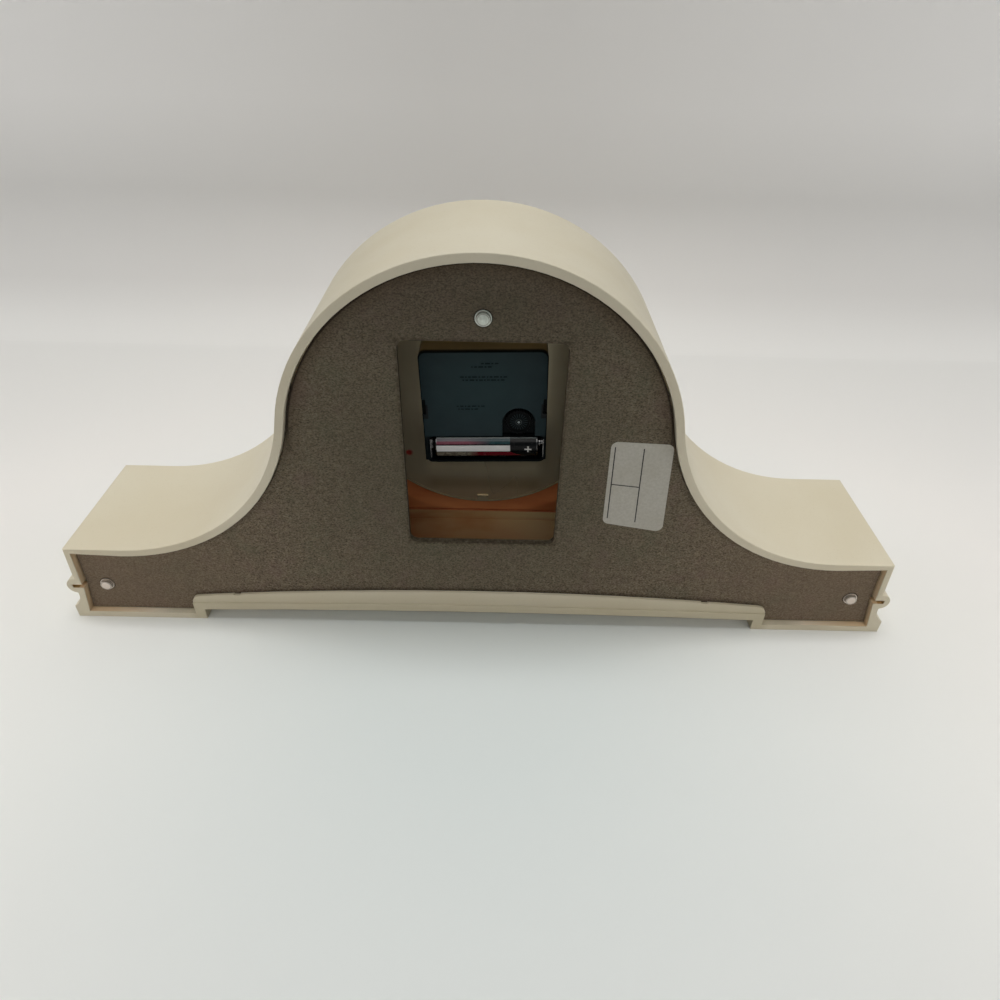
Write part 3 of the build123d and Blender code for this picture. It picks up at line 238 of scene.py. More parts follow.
def ivory_plastic():
    """Satin moulded polystyrene, faintly yellowed; inside, it is warmed by light that comes through the wall."""
    p = Paint("case_ivory", lin(222, 214, 190), 0.42, Specular_IOR_Level=0.45)
    p.soft_edges(0.0006)
    base = p.mottled(0.35, 0.68, lin(223, 216, 195), lin(217, 208, 184), 14, 3)
    base = p.blend(p.spread(p.noise(900, 2, 0.6), 0.60, 0.78, 0, 0.35), base, lin(203, 192, 162))
    x, y, z = p.axes()
    wide = p.math("ABSOLUTE", x)

    # Painted shade on the foot of the rear lip, painted warm light on the walls of the board's recess at both
    # ends, and painted shade in the groove in them
    # Painted shade: the lower part of the rear lip darker
    lip = p.times(p.fall(z, 0.010, 0.020, 0.6), p.spread(y, 0.0335, 0.0345), p.within(x, -0.140, 0.140, 0.002))
    base = p.blend(lip, base, lin(190, 182, 154))
    recess = p.within(y, 0.0330, 0.0374, 0.0001)
    # Painted light: the end walls lighter and warmer, where light comes through the plastic
    end_wall = p.times(p.times(p.spread(wide, 0.1500, 0.1600), p.fall(wide, 0.1902, 0.1904)),
                       p.times(recess, p.within(z, 0.0026, 0.0416, 0.0004)))
    end_light_tone = p.blend(p.spread(wide, 0.155, 0.183), lin(255, 243, 222), lin(244, 214, 172))
    base = p.blend(p.times(end_wall, 0.8), base, end_light_tone)
    # Painted shade in the groove
    groove = p.times(p.within(wide, 0.1902, 0.1931, 0.0001), p.within(z, 0.0178, 0.0212, 0.0002), recess)
    base = p.blend(groove, base, lin(206, 168, 112))

    # The inside of the base, seen below the movement: a painted warm glow of the light that comes through the
    # wall, and a paler painted pool of light on the floor behind the front wall
    low = p.times(p.within(z, 0.0094, 0.0730, 0.0003), p.within(y, -0.0308, 0.0303, 0.0002))
    slit = p.times(p.within(z, 0.0182, 0.0216, 0.0003), p.within(y, -0.0345, -0.0300, 0.0003))
    inside = p.times(p.within(x, -0.065, 0.065, 0.0040), p.math("MAXIMUM", low, slit))
    streak = p.noise(30, 3, 0.6, (0.7, 1.0, 2.5))
    warm = p.blend(p.spread(streak, 0.35, 0.7), lin(212, 138, 88), lin(188, 108, 64))
    dark = p.blend(p.spread(streak, 0.35, 0.6), lin(206, 154, 106), lin(184, 116, 70))
    # The painted pool of light, paler towards negative x
    tan = p.blend(p.spread(streak, 0.40, 0.6), lin(212, 180, 130), lin(200, 150, 102))
    tan = p.blend(p.fall(x, -0.030, 0.0, 0.7), tan, lin(230, 216, 172))
    inner = p.blend(p.spread(z, 0.0180, 0.0186), dark, warm)
    inner = p.blend(p.times(p.fall(z, 0.0180, 0.0186), p.spread(y, -0.0308, -0.0298)), inner, tan)
    p.colour(p.blend(inside, base, inner))

    # The light that comes through the wall, into the base and into the hump
    hump = p.times(p.fall(p.radius(0.0, HUMP_Z), 0.0800, 0.0808), p.within(y, -0.0290, 0.0303, 0.0003))
    p.set("Emission Color", p.blend(p.spread(z, 0.070, 0.090), warm, lin(224, 204, 166)))
    glow = p.times(inside, p.within(z, 0.0170, 0.0480, 0.0040), p.spread(y, -0.0330, -0.0305, 0.035, 0.010))
    p.set("Emission Strength", p.math("ADD", glow, p.times(hump, 0.040)))
    p.rough(p.spread(p.noise(60, 3), 0.3, 0.7, 0.36, 0.48))
    p.bump(p.noise(22, 2), 0.0005, 0.35)
    p.bump(p.noise(1700, 2, 0.6), 0.00003, 0.5)
    return p.mat


def hardboard():
    """Pressed wood fibre: grey-brown, with short pale and dark fibres pressed flat."""
    p = Paint("board_fibre", lin(108, 99, 84), 0.88, Specular_IOR_Level=0.25)
    grain = p.noise(2000, 3, 0.75, (0.6, 1, 1))
    coarse = p.noise(420, 3, 0.65)
    across = p.noise(620, 4, 0.7, (1.0, 1.0, 2.6), (0, 0.5, 0))
    along = p.noise(620, 4, 0.7, (2.6, 1.0, 1.0), (0, 0.35, 0))
    fibres = p.times(p.spread(across, 0.44, 0.62), p.spread(along, 0.42, 0.62))
    base = p.blend(p.spread(grain, 0.36, 0.64), lin(60, 52, 42), lin(146, 134, 116))
    base = p.blend(p.spread(coarse, 0.40, 0.62, 0, 0.25), base, lin(92, 82, 68))
    base = p.blend(p.times(fibres, 0.5), base, lin(160, 145, 118))
    mottle = p.noise(75, 3, 0.6)
    base = p.blend(p.fall(mottle, 0.30, 0.46, 0.22), base, lin(128, 102, 100))
    base = p.blend(p.spread(mottle, 0.54, 0.70, 0.0, 0.22), base, lin(96, 104, 84))
    base = p.blend(p.fall(p.cells(1300), 0.0, 0.18, 0.5), base, lin(48, 40, 32))

    # Painted shade in the middle and at the top, painted light at both ends, which are lighter and redder, and
    # painted shade at the hump's edge
    x, _, z = p.axes()
    base = p.blend(p.fall(p.radius(0.0, 0.095), 0.035, 0.110, 0.55), base, lin(80, 78, 63))
    base = p.blend(p.spread(p.math("ABSOLUTE", x), 0.09, 0.17, 0.0, 0.5), base, lin(128, 110, 93))
    base = p.blend(p.spread(z, 0.135, 0.165, 0.0, 0.45), base, lin(70, 60, 50))
    hump = p.radius(0.0, HUMP_Z)
    edges = p.spread(hump, 0.072, 0.080, 0.0, 0.5)
    base = p.blend(p.times(edges, p.spread(z, 0.09, 0.11)), base, lin(70, 52, 38))

    # The frayed edge of the opening, a painted shadow in the gap round the hump, and a painted shadow ring round
    # each cap
    opening_x = p.fall(p.math("ABSOLUTE", p.math("ADD", x, 0.001)), 0.0330, 0.0339)
    opening_z = p.fall(p.math("ABSOLUTE", p.math("SUBTRACT", z, HUMP_Z)), 0.0495, 0.0503)
    frayed = p.times(opening_x, opening_z, p.spread(p.noise(700, 3), 0.35, 0.6))
    base = p.blend(p.times(frayed, 0.6), base, lin(58, 46, 34))
    # Painted shadow in the gap between board and case round the hump
    gap_shadow = p.times(p.within(hump, 0.0781, 0.0795, 0.0002), p.spread(z, 0.095, 0.110))
    base = p.blend(p.times(gap_shadow, 0.75), base, lin(30, 20, 12))
    # Painted shadow: a dark ring round each cap
    p.colour(p.blend(p.fall(p.nearest_cap(), 0.0033, 0.0038, 0.8), base, lin(22, 24, 20)))
    p.bump(grain, 0.00012, 0.7)
    p.bump(fibres, 0.00012, 0.6)
    return p.mat


def zinc():
    """Brushed plated steel caps: a satin disc, a thin bright edge and a dark line between disc and rim."""
    p = Paint("zinc_plate", lin(206, 208, 204), 0.38, Metallic=0.75)
    near = p.nearest_cap()
    plate = p.mottled(0.3, 0.7, lin(232, 240, 232), lin(204, 210, 202), 700, 3)
    # Painted warm light: the two caps at the ends are warmer
    wide = p.math("ABSOLUTE", p.axes()["X"])
    plate = p.blend(p.spread(wide, 0.09, 0.10, 0.0, 0.8), plate, lin(240, 226, 216))
    plate = p.blend(p.within(near, 0.00205, 0.00228, 0.00008), plate, lin(150, 150, 142))
    plate = p.blend(p.within(near, 0.00250, 0.00278, 0.00006), plate, lin(112, 108, 98))
    p.colour(plate)
    p.rough(p.spread(p.noise(1500, 2), 0.3, 0.7, 0.30, 0.50))
    p.bump(p.noise(2600, 2), 0.00004, 0.6)
    return p.mat


def label_paper():
    """Silver-grey label stock with a slight fibre and faint blotches."""
    p = Paint("label_paper", lin(172, 171, 160), 0.5, Metallic=0.15)
    base = p.mottled(0.35, 0.7, lin(194, 192, 184), lin(178, 176, 166), 900, 4, 0.7)
    p.colour(p.blend(p.spread(p.noise(60, 2), 0.45, 0.7, 0, 0.4), base, lin(176, 172, 158)))
    p.bump(p.noise(1800, 3), 0.00003, 0.5)
    return p.mat


def print_ink(name, full, thin, rough, scale, high, share):
    """Printing ink that lies a little thinner in small specks."""
    p = Paint(name, full, rough)
    p.colour(p.blend(p.spread(p.noise(scale, 2), 0.55, high, 0, share), full, thin))
    return p.mat


def brass():
    """Lacquered drawn brass with fine turning marks, dulled on the skirt inside the case."""
    p = Paint("bezel_brass", (0.76, 0.55, 0.25, 1), 0.17, Metallic=1.0)
    y = p.axes()["Y"]
    r = p.radius(0.0, DIAL_Z)
    tarnish = p.spread(p.noise(45, 4, 0.6), 0.5, 0.78, 0, 0.5)
    base = p.blend(tarnish, (0.78, 0.57, 0.26, 1), (0.55, 0.36, 0.14, 1))
    skirt = p.times(p.within(y, -0.0300, -0.0140, 0.0004), p.spread(r, 0.0610, 0.0618))
    base = p.blend(p.times(skirt, 0.85), base, (0.34, 0.20, 0.09, 1))
    # The folded tab takes the plate's olive and less metal; its inner end is a painted highlight, a bright cream
    # line
    tab = p.times(p.fall(r, 0.0636, 0.0640), p.within(y, -0.0169, -0.0150, 0.0002))
    base = p.blend(tab, base, (0.55, 0.49, 0.34, 1))
    tip_highlight = p.times(tab, p.fall(r, 0.05990, 0.06000))
    p.colour(p.blend(tip_highlight, base, (1.0, 0.93, 0.76, 1)))
    p.set("Metallic", p.math("SUBTRACT", 1.0, p.times(p.math("SUBTRACT", tab, tip_highlight), 0.6)))
    gloss = p.spread(p.noise(160, 3), 0.3, 0.75, 0.12, 0.27)
    p.rough(p.math("ADD", gloss, p.times(skirt, 0.35)))
    p.bump(p.math("SINE", p.times(r, 24000.0)), 0.000002, 0.25)
    return p.mat


def gold_lacquer():
    """The satin olive-gold lacquer on the back of the dial, with one dab of red locking paint."""
    p = Paint("dial_lacquer", (0.72, 0.62, 0.40, 1), 0.30)
    base = p.mottled(0.35, 0.7, (0.64, 0.58, 0.42, 1), (0.56, 0.50, 0.35, 1), 30, 3)
    x, _, z = p.axes()
    # Painted reflection of the warm inside of the base: redder towards the bottom
    base = p.blend(p.fall(z, 0.0400, 0.0520, 0.3), base, (0.62, 0.38, 0.19, 1))
    # A painted reflection of the movement as a dark band, and above it a painted paler field that lifts the
    # plate where the movement shades it
    wide = p.within(x, -0.0290, 0.0280, 0.0030)
    base = p.blend(p.times(p.within(z, 0.0430, 0.0490, 0.0018), wide, 0.5), base, (0.36, 0.27, 0.14, 1))
    base = p.blend(p.times(p.spread(z, 0.0500, 0.0560), wide, 0.8), base, (0.95, 0.87, 0.62, 1))
    uneven = p.times(p.math("SUBTRACT", p.noise(500, 2), 0.5), 0.0012)
    red = p.fall(p.math("ADD", p.radius(0.0369, 0.0640), uneven), 0.0010, 0.0022)
    p.colour(p.blend(red, base, lin(168, 52, 40)))
    p.set("Metallic", p.fall(red, 0.0, 1.0, 0.5))
    p.rough(p.spread(p.noise(24, 2, 0.5, (1, 1, 0.3)), 0.3, 0.7, 0.22, 0.32))
    p.bump(p.noise(16, 2), 0.0003, 0.25)
    p.bump(p.noise(1400, 2, 0.5, (6, 1, 0.4)), 0.000004, 0.3)
    return p.mat


def lens_glass():
    """Clear acrylic that lets lamps through to the dial."""
    p = Paint("lens_clear", (0.97, 0.975, 0.98, 1), 0.02, Transmission_Weight=1.0, IOR=1.49)
    p.bump(p.noise(35, 2), 0.00008, 0.15)
    clear = p.node("ShaderNodeBsdfTransparent")
    path = p.node("ShaderNodeLightPath")
    mix = p.node("ShaderNodeMixShader")
    p.link(p.math("MAXIMUM", path.outputs["Is Shadow Ray"], path.outputs["Is Diffuse Ray"]), mix.inputs[0])
    p.link(p.shader.outputs[0], mix.inputs[1])
    p.link(clear.outputs[0], mix.inputs[2])
    p.link(mix.outputs[0], p.tree.nodes["Material Output"].inputs["Surface"])
    return p.mat


def card():
    """Matt ivory printed card, a little yellower towards its edge."""
    p = Paint("dial_card", lin(236, 228, 206), 0.55)
    base = p.blend(p.spread(p.radius(0.0, DIAL_Z), 0.02, 0.063), lin(238, 231, 211), lin(229, 219, 192))
    p.colour(p.blend(p.spread(p.noise(1500, 3), 0.5, 0.8, 0, 0.3), base, lin(216, 205, 178)))
    p.bump(p.noise(2600, 2), 0.00001, 0.5)
    return p.mat


def plain(name, colour, rough, metallic=0.0, scale=900.0, depth=0.00003, change=0.82, **more):
    """Moulded or plated stock: a slightly uneven colour and gloss over a fine texture."""
    p = Paint(name, colour, rough, Metallic=metallic, **more)
    p.colour(p.mottled(0.35, 0.7, colour, scaled(colour, change), scale / 6, 3))
    p.rough(p.spread(p.noise(scale / 3, 3), 0.3, 0.75, rough * 0.8, min(1.0, rough * 1.25)))
    p.bump(p.noise(scale, 3), depth, 0.6)
    return p.mat


def movement_black():
    """Semi-gloss black with a green cast, faint swirls of the mould and a fine texture."""
    p = Paint("movement_black", lin(32, 50, 54), 0.36)
    p.soft_edges(0.0004)
    near_black = lin(8, 10, 12)
    base = p.mottled(0.35, 0.7, lin(27, 48, 54), lin(32, 54, 60), 75, 4, 0.65, (1, 1, 1.6))
    # Painted sheen: lighter in the upper middle of the face
    base = p.blend(p.fall(p.radius(0.0, 0.1120), 0.008, 0.026, 0.6), base, lin(34, 62, 66))
    base = p.blend(p.spread(p.noise(1600, 2, 0.6), 0.62, 0.8, 0, 0.5), base, lin(44, 58, 60))
    across = p.dot((0.0, 0.0, DIAL_Z), (math.cos(TURN), 0.0, -math.sin(TURN)))
    upward = p.dot((0.0, 0.0, DIAL_Z), (math.sin(TURN), 0.0, math.cos(TURN)))
    # Painted shade: the latch slot at each side of the cover, near black
    edge = p.math("ABSOLUTE", p.math("ADD", across, 0.0009))
    slot_shade = p.times(p.within(edge, 0.0256, 0.0290, 0.00015), p.within(upward, -0.0046, 0.0026, 0.0002))
    base = p.blend(p.times(slot_shade, 0.85), base, near_black)

    # Painted shade: near black beyond a rounded outline on the face, on all that lies deeper, and along the
    # bottom of the face
    height = p.math("ABSOLUTE", p.math("ADD", upward, 0.0009))
    rise = p.math("MAXIMUM", p.math("SUBTRACT", height, 0.0256), 0.0)
    run = p.math("MAXIMUM", p.math("SUBTRACT", edge, 0.0247), 0.0)
    y = p.axes()["Y"]
    deep_shade = p.math("MAXIMUM", p.spread(p.length(rise, run), 0.0030, 0.0033), p.fall(y, -0.0008, -0.0004))
    deep_shade = p.math("MAXIMUM", deep_shade, p.fall(upward, -0.0146, -0.0134, 0.9))
    base = p.blend(p.times(deep_shade, 0.92), base, near_black)
    p.set("Specular IOR Level", p.spread(deep_shade, 0.0, 1.0, 0.22, 0.07))
    # Painted reflection of the olive dial plate on the cover's top face
    top = p.times(p.spread(upward, 0.0262, 0.0270), p.fall(y, -0.0032, -0.0012))
    p.colour(p.blend(top, base, lin(150, 134, 102)))
    p.rough(p.spread(p.noise(180, 4), 0.3, 0.75, 0.32, 0.48))
    p.bump(p.noise(70, 2), 0.00012, 0.4)
    p.bump(p.noise(2200, 2), 0.00002, 0.6)
    return p.mat


def knob_black():
    """Black nylon with fine radial ribs round a small bare centre."""
    p = Paint("knob_black", lin(14, 17, 18), 0.44, Specular_IOR_Level=0.08)
    low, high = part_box("setting_knob")
    x0, z0 = (low.x + high.x) / 2, (low.z + high.z) / 2
    r = p.radius(x0, z0)
    x, _, z = p.axes()
    angle = p.math("ARCTAN2", p.math("SUBTRACT", z, z0), p.math("SUBTRACT", x, x0))
    ribs = p.times(p.math("SINE", p.times(angle, 20.0)), p.within(r, 0.0014, 0.0042, 0.0003))
    base = p.mottled(0.35, 0.7, lin(8, 11, 13), lin(15, 19, 21), 900, 3)
    base = p.blend(p.spread(ribs, 0.3, 0.9, 0, 0.8), base, lin(60, 74, 78))
    base = p.blend(p.within(r, 0.00115, 0.00145, 0.00010), base, lin(84, 94, 96))
    p.colour(p.blend(p.fall(r, 0.0004, 0.0007), base, lin(170, 184, 186)))
    p.rough(p.spread(p.noise(600, 2), 0.3, 0.75, 0.36, 0.54))
    p.bump(ribs, 0.00012, 0.7)
    return p.mat


def cell_jacket():
    """Printed film on the cell: silver and teal, a white band, a red streak, and a black end with a plus."""
    p = Paint("cell_print", lin(150, 153, 156), 0.24, Specular_IOR_Level=0.2)
    low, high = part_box("battery_jacket")
    centre = (low + high) / 2
    across = (math.sin(TURN), 0.0, math.cos(TURN))
    # The angle round the cell: 0 faces the back, and it grows towards the top. Around is its length at the film.
    angle = p.math("ARCTAN2", p.dot(centre, across), p.math("SUBTRACT", p.axes()["Y"], centre.y))
    around = p.times(angle, 0.00715)
    along = p.math("SUBTRACT", 0.02345, p.dot(centre, (math.cos(TURN), 0.0, -math.sin(TURN))))

    # Bands along the cell
    right = p.spread(along, 0.014, 0.026)
    silver = p.blend(right, lin(150, 142, 150), lin(84, 112, 118))
    sheen = p.spread(p.noise(90, 2, 0.5, (0.5, 1, 6)), 0.42, 0.62, 0, 0.4)
    silver = p.blend(sheen, silver, lin(112, 118, 124))
    film = p.blend(p.within(around, 0.0040, 0.0054, 0.00015), lin(20, 24, 26), silver)
    # A painted highlight along the top of the cell
    film = p.blend(p.within(around, 0.0054, 0.0059, 0.0001), film, lin(206, 212, 212))
    violet = p.blend(right, lin(156, 92, 108), lin(46, 84, 90))
    film = p.blend(p.within(around, 0.0027, 0.0040, 0.00020), film, violet)
    film = p.blend(p.within(around, -0.0011, 0.0021, 0.00012), film, lin(252, 253, 253))

    # The underside, red at its right, with a slanting end
    under = p.mottled(0.4, 0.6, lin(140, 134, 118), lin(104, 98, 86), 700, 2)
    under = p.blend(p.spread(along, 0.0150, 0.0200), under, lin(118, 24, 38))
    past = p.math("MAXIMUM", p.math("SUBTRACT", along, 0.0345), 0.0)
    limit = p.math("SUBTRACT", -0.0016, p.times(past, 0.5))
    streak = p.times(p.spread(around, -0.0047, -0.0043), p.fall(p.math("SUBTRACT", around, limit), 0.0, 0.0003))
    film = p.blend(streak, film, under)

    # The black end with its plus
    black_end = p.times(p.spread(along, 0.03440, 0.03460), p.math("SUBTRACT", 1.0, streak))
    film = p.blend(black_end, film, lin(14, 17, 19))
    # The painted highlight runs on over the black end
    film = p.blend(p.times(p.within(around, 0.0054, 0.0058, 0.0001), black_end), film, lin(150, 158, 158))
    bar = p.times(p.within(along, 0.0412, 0.0446, 0.00012), p.within(around, -0.00035, 0.00035, 0.00006))
    post = p.times(p.within(along, 0.04255, 0.04325, 0.00012), p.within(around, -0.0016, 0.0016, 0.00006))
    p.colour(p.blend(p.math("MAXIMUM", bar, post), film, lin(236, 236, 234)))
    p.rough(p.spread(p.noise(300, 2), 0.3, 0.7, 0.2, 0.3))
    p.bump(p.noise(500, 2, 0.5, (0.4, 1, 1)), 0.00003, 0.3)
    return p.mat


def copper_wire():
    """Enamelled winding wire, its turns shown by the relief."""
    p = Paint("winding_copper", (0.62, 0.26, 0.11, 1), 0.3, Metallic=1.0)
    p.bump(p.math("SINE", p.times(p.axes()["X"], 52000.0)), 0.00003, 0.8)
    p.colour(p.mottled(0.4, 0.7, (0.66, 0.28, 0.12, 1), (0.48, 0.18, 0.07, 1), 400, 2))
    return p.mat


def laminate():
    """Brown circuit board with copper tracks under the varnish."""
    p = Paint("circuit_laminate", lin(120, 84, 40), 0.45)
    tracks = p.spread(p.cells(420, "DISTANCE_TO_EDGE"), 0.10, 0.14)
    p.colour(p.blend(tracks, lin(150, 104, 52), lin(98, 66, 30)))
    p.bump(tracks, 0.00004, 0.6)
    return p.mat


looks = {
    "case_plastic": ivory_plastic(),
    "board": hardboard(),
    "zinc": zinc(),
    "label_paper": label_paper(),
    "brass": brass(),
    "lens": lens_glass(),
    "card": card(),
    "olive_metal": gold_lacquer(),
    "spacer_plastic": plain("spacer_cream", lin(224, 214, 188), 0.45),
    "rubber": plain("rubber_black", lin(34, 34, 35), 0.8, 0.0, 1500, 0.00006),
    "movement_plastic": movement_black(),
    "knob_plastic": knob_black(),
    "nickel": plain("nickel_plate", (0.26, 0.26, 0.26, 1), 0.22, 1.0, 900, 0.00002),
    "cell_print": cell_jacket(),
    "black_hand": plain("hand_black", lin(22, 22, 23), 0.3, 0.0, 1200, 0.00001),
    "gear_plastic": plain("gear_acetal", lin(232, 228, 214), 0.38, 0.0, 1200, 0.00002, 0.93),
    "magnet": plain("magnet_ferrite", lin(58, 56, 55), 0.7, 0.3, 1500, 0.00006),
    "copper": copper_wire(),
    "core_steel": plain("core_steel", (0.42, 0.42, 0.43, 1), 0.38, 1.0, 700, 0.00002),
    "circuit": laminate(),
}
slot_of = {s["node"]: s["material_slot"] for s in frame["record"]["subparts"]}
for name, node in frame["nodes"].items():
    for place in node.material_slots:
        place.material = looks[slot_of[name]]


# Pieces made here

def mesh_object(name, verts, faces, mat, smooth=False):
    """A new object of its own mesh with one material."""
    mesh = bpy.data.meshes.new(name)
    mesh.from_pydata([tuple(v) for v in verts], [], faces)
    mesh.update()
    mesh.materials.append(mat)
    for f in mesh.polygons:
        f.use_smooth = smooth
    made = bpy.data.objects.new(name, mesh)
    bpy.context.scene.collection.objects.link(made)
    return made


def piece(name, verts, faces, mat):
    """A piece of print or relief, which is fixed to the case."""
    made = mesh_object(name, verts, faces, mat)
    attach(made, "clock_body")


def strokes(name, lines, y, width, height, mat):
    """Thin raised lines on a flat face: each runs between two points given as x and z."""
    # As shares of half the foot's width: how far the top's ends draw in, and half its width
    end_slope, top_width = 0.6, 0.7
    verts, faces = [], []
    for (x0, z0), (x1, z1) in lines:
        way = Vector((x1 - x0, 0, z1 - z0)).normalized() * (width / 2)
        side = Vector((-way.z, 0, way.x))
        n = len(verts)
        a, b = Vector((x0, y, z0)), Vector((x1, y, z1))
        foot = [a - side, b - side, b + side, a + side]
        a, b, side = a + way * end_slope, b - way * end_slope, side * top_width
        top = [a - side, b - side, b + side, a + side]
        verts += foot + [v + Vector((0, height, 0)) for v in top]
        faces += [(n + 4, n + 5, n + 6, n + 7)]
        faces += [(n + i, n + (i + 1) % 4, n + 4 + (i + 1) % 4, n + 4 + i) for i in range(4)]
    if height > 0:
        faces = [tuple(reversed(f)) for f in faces]
    piece(name, verts, faces, mat)


# Ruled lines on the label, placed by shares of its width and height

LABEL = ((-0.05365, 0.10495), (-0.07955, 0.10395), (-0.08135, 0.05805), (-0.05425, 0.06265))
label_ink = print_ink("label_ink", lin(42, 42, 41), lin(90, 89, 84), 0.6, 2600, 0.75, 0.5)


def on_label(s, t):
    top = [LABEL[0][i] + s * (LABEL[1][i] - LABEL[0][i]) for i in (0, 1)]
    low = [LABEL[3][i] + s * (LABEL[2][i] - LABEL[3][i]) for i in (0, 1)]
    return tuple(top[i] + t * (low[i] - top[i]) for i in (0, 1))


rules = (((0.07, 0.06), (0.07, 0.93)), ((0.53, 0.06), (0.53, 0.93)), ((0.07, 0.50), (0.53, 0.50)))
strokes("label_rules", [(on_label(*start), on_label(*end)) for start, end in rules],
        y=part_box("back_label")[1].y, width=0.00050, height=PRINT, mat=label_ink)


# Plain moulded dashes on the movement's cover, which sits turned about the dial's axis; their darker teal is
# painted shade of the relief

DASHES = (0.0016, 0.0009, 0.0021, 0.0012, 0.0007)  # the lengths, in turn
DASH_GAP = 0.0006
# Painted shade: the dashes a darker teal than the cover
moulded = plain("moulded_line_shade", lin(23, 42, 46), 0.6, depth=0.00002, Specular_IOR_Level=0.08)


def on_cover(x, z):
    dx, dz = x, z - DIAL_Z
    return (dx * math.cos(TURN) + dz * math.sin(TURN), DIAL_Z - dx * math.sin(TURN) + dz * math.cos(TURN))


rows = [(-0.0075, 0.0010, 0.1215), (-0.0045, 0.0062, 0.1199), (-0.0112, 0.0098, 0.1151),
        (-0.0100, 0.0085, 0.1136), (-0.0010, 0.0125, 0.1006), (0.0020, 0.0130, 0.0991)]
dashes = []
for x, end, z in rows:
    for length in itertools.cycle(DASHES):
        if x + length > end:
            break
        dashes.append((on_cover(x, z), on_cover(x + length, z)))
        x += length + DASH_GAP
strokes("cover_lines", dashes, y=COVER_Y, width=0.0007, height=0.00012, mat=moulded)


# Dial print: plain numbers, and a minute track between two fine circles

TRACK = (0.0532, 0.0558)  # the radii of the circles, and of the ends of the ticks
NUMBERS = 0.0455  # the radius of the numbers' centres
HALF_LINE = 0.0001  # half the width of a circle's line
STEPS = 180  # of a circle
card_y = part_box("dial_card")[0].y
dial_black = print_ink("dial_ink", lin(24, 23, 23), lin(52, 50, 47), 0.5, 2400, 0.8, 0.4)


def at_hour(radius, hour):
    angle = math.radians(90 - 30 * hour)
    return (radius * math.cos(angle), DIAL_Z + radius * math.sin(angle))


def tick(hour):
    return tuple(at_hour(r, hour) for r in TRACK)


for name, hours, width in (("dial_ticks", [m / 5 for m in range(60) if m % 5], 0.00032),
                           ("dial_hour_ticks", range(12), 0.0011)):
    strokes(name, [tick(h) for h in hours], card_y, width, -PRINT, dial_black)

verts, faces = [], []
for radius in TRACK:
    n = len(verts)
    for i in range(STEPS):
        for r in (radius - HALF_LINE, radius + HALF_LINE):
            x, z = at_hour(r, i * 12 / STEPS)
            verts.append((x, card_y - PRINT, z))
        j = (i + 1) % STEPS
        faces.append((n + 2 * i, n + 2 * i + 1, n + 2 * j + 1, n + 2 * j))
piece("dial_circles", verts, faces, dial_black)


def number(hour):
    """One of the dial's numbers, centred on its own outline."""
    text = bpy.data.curves.new("number", "FONT")
    text.body = str(hour)
    text.size = 0.0118
    text.align_x, text.align_y = "CENTER", "CENTER"
    text.extrude = 0.00001
    text.offset = 0.00018
    made = bpy.data.objects.new("number", text)
    bpy.context.scene.collection.objects.link(made)
    bpy.context.view_layer.update()
    mesh = bpy.data.meshes.new_from_object(made)
    bpy.data.objects.remove(made)
    x0, x1 = min(v.co.x for v in mesh.vertices), max(v.co.x for v in mesh.vertices)
    z0, z1 = min(v.co.y for v in mesh.vertices), max(v.co.y for v in mesh.vertices)
    x, z = at_hour(NUMBERS, hour)
    verts = [(x + v.co.x - (x0 + x1) / 2, card_y - PRINT - v.co.z, z + v.co.y - (z0 + z1) / 2)
             for v in mesh.vertices]
    faces = [tuple(f.vertices) for f in mesh.polygons]
    piece(f"dial_number_{hour:02d}", verts, faces, dial_black)


for hour in range(1, 13):
    number(hour)


# Floor and wall of the photo table: one sweep, seen from its own side only above the floor

SWEEP_TONE = lin(234, 233, 230)  # of floor and wall alike where they meet
GLOW = (1.0, 0.99, 0.975, 1.0)
REACH = 3.0  # how far both run to each side


def sweep_paint(name, seen, lit):
    """A matt white sweep: the camera sees it a little paler than it bounces light on the object."""
    p = Paint(name, lit, 0.8, Specular_IOR_Level=0.2)
    camera_ray = p.node("ShaderNodeLightPath").outputs["Is Camera Ray"]
    shown = p.mottled(0.3, 0.7, seen, scaled(seen, 0.98), 3, 2)
    p.colour(p.blend(camera_ray, lit, shown))
    p.bump(p.noise(900, 2), 0.00002, 0.3)
    return p, camera_ray


def sheet(name, rows, mat, smooth):
    """A sheet that is straight along x, through points given as y and z."""
    verts = [(x, y, z) for y, z in rows for x in (REACH, -REACH)]
    faces = [(2 * i, 2 * i + 1, 2 * i + 3, 2 * i + 2) for i in range(len(rows) - 1)]
    mesh_object(name, verts, faces, mat, smooth)


def floor_white():
    """White, with a painted shadow round the object, a little darker further back where it meets the wall, and
    glowing faintly far from it.
    """
    p, camera_ray = sweep_paint("floor_white", lin(244, 242, 239), lin(214, 213, 210))
    x, y, _ = p.axes()
    reach = p.length(x, p.math("SUBTRACT", y, 0.07))
    # Painted shadow: cooler and darker round the object
    p.over(p.times(p.fall(reach, 0.05, 0.30), camera_ray), lin(228, 235, 234))
    p.over(p.times(p.fall(y, -0.26, -0.08), camera_ray), SWEEP_TONE)
    p.set("Emission Color", GLOW)
    p.set("Emission Strength", p.times(p.spread(reach, 0.55, 2.60, 0.0, 0.55), camera_ray))
    return p.mat


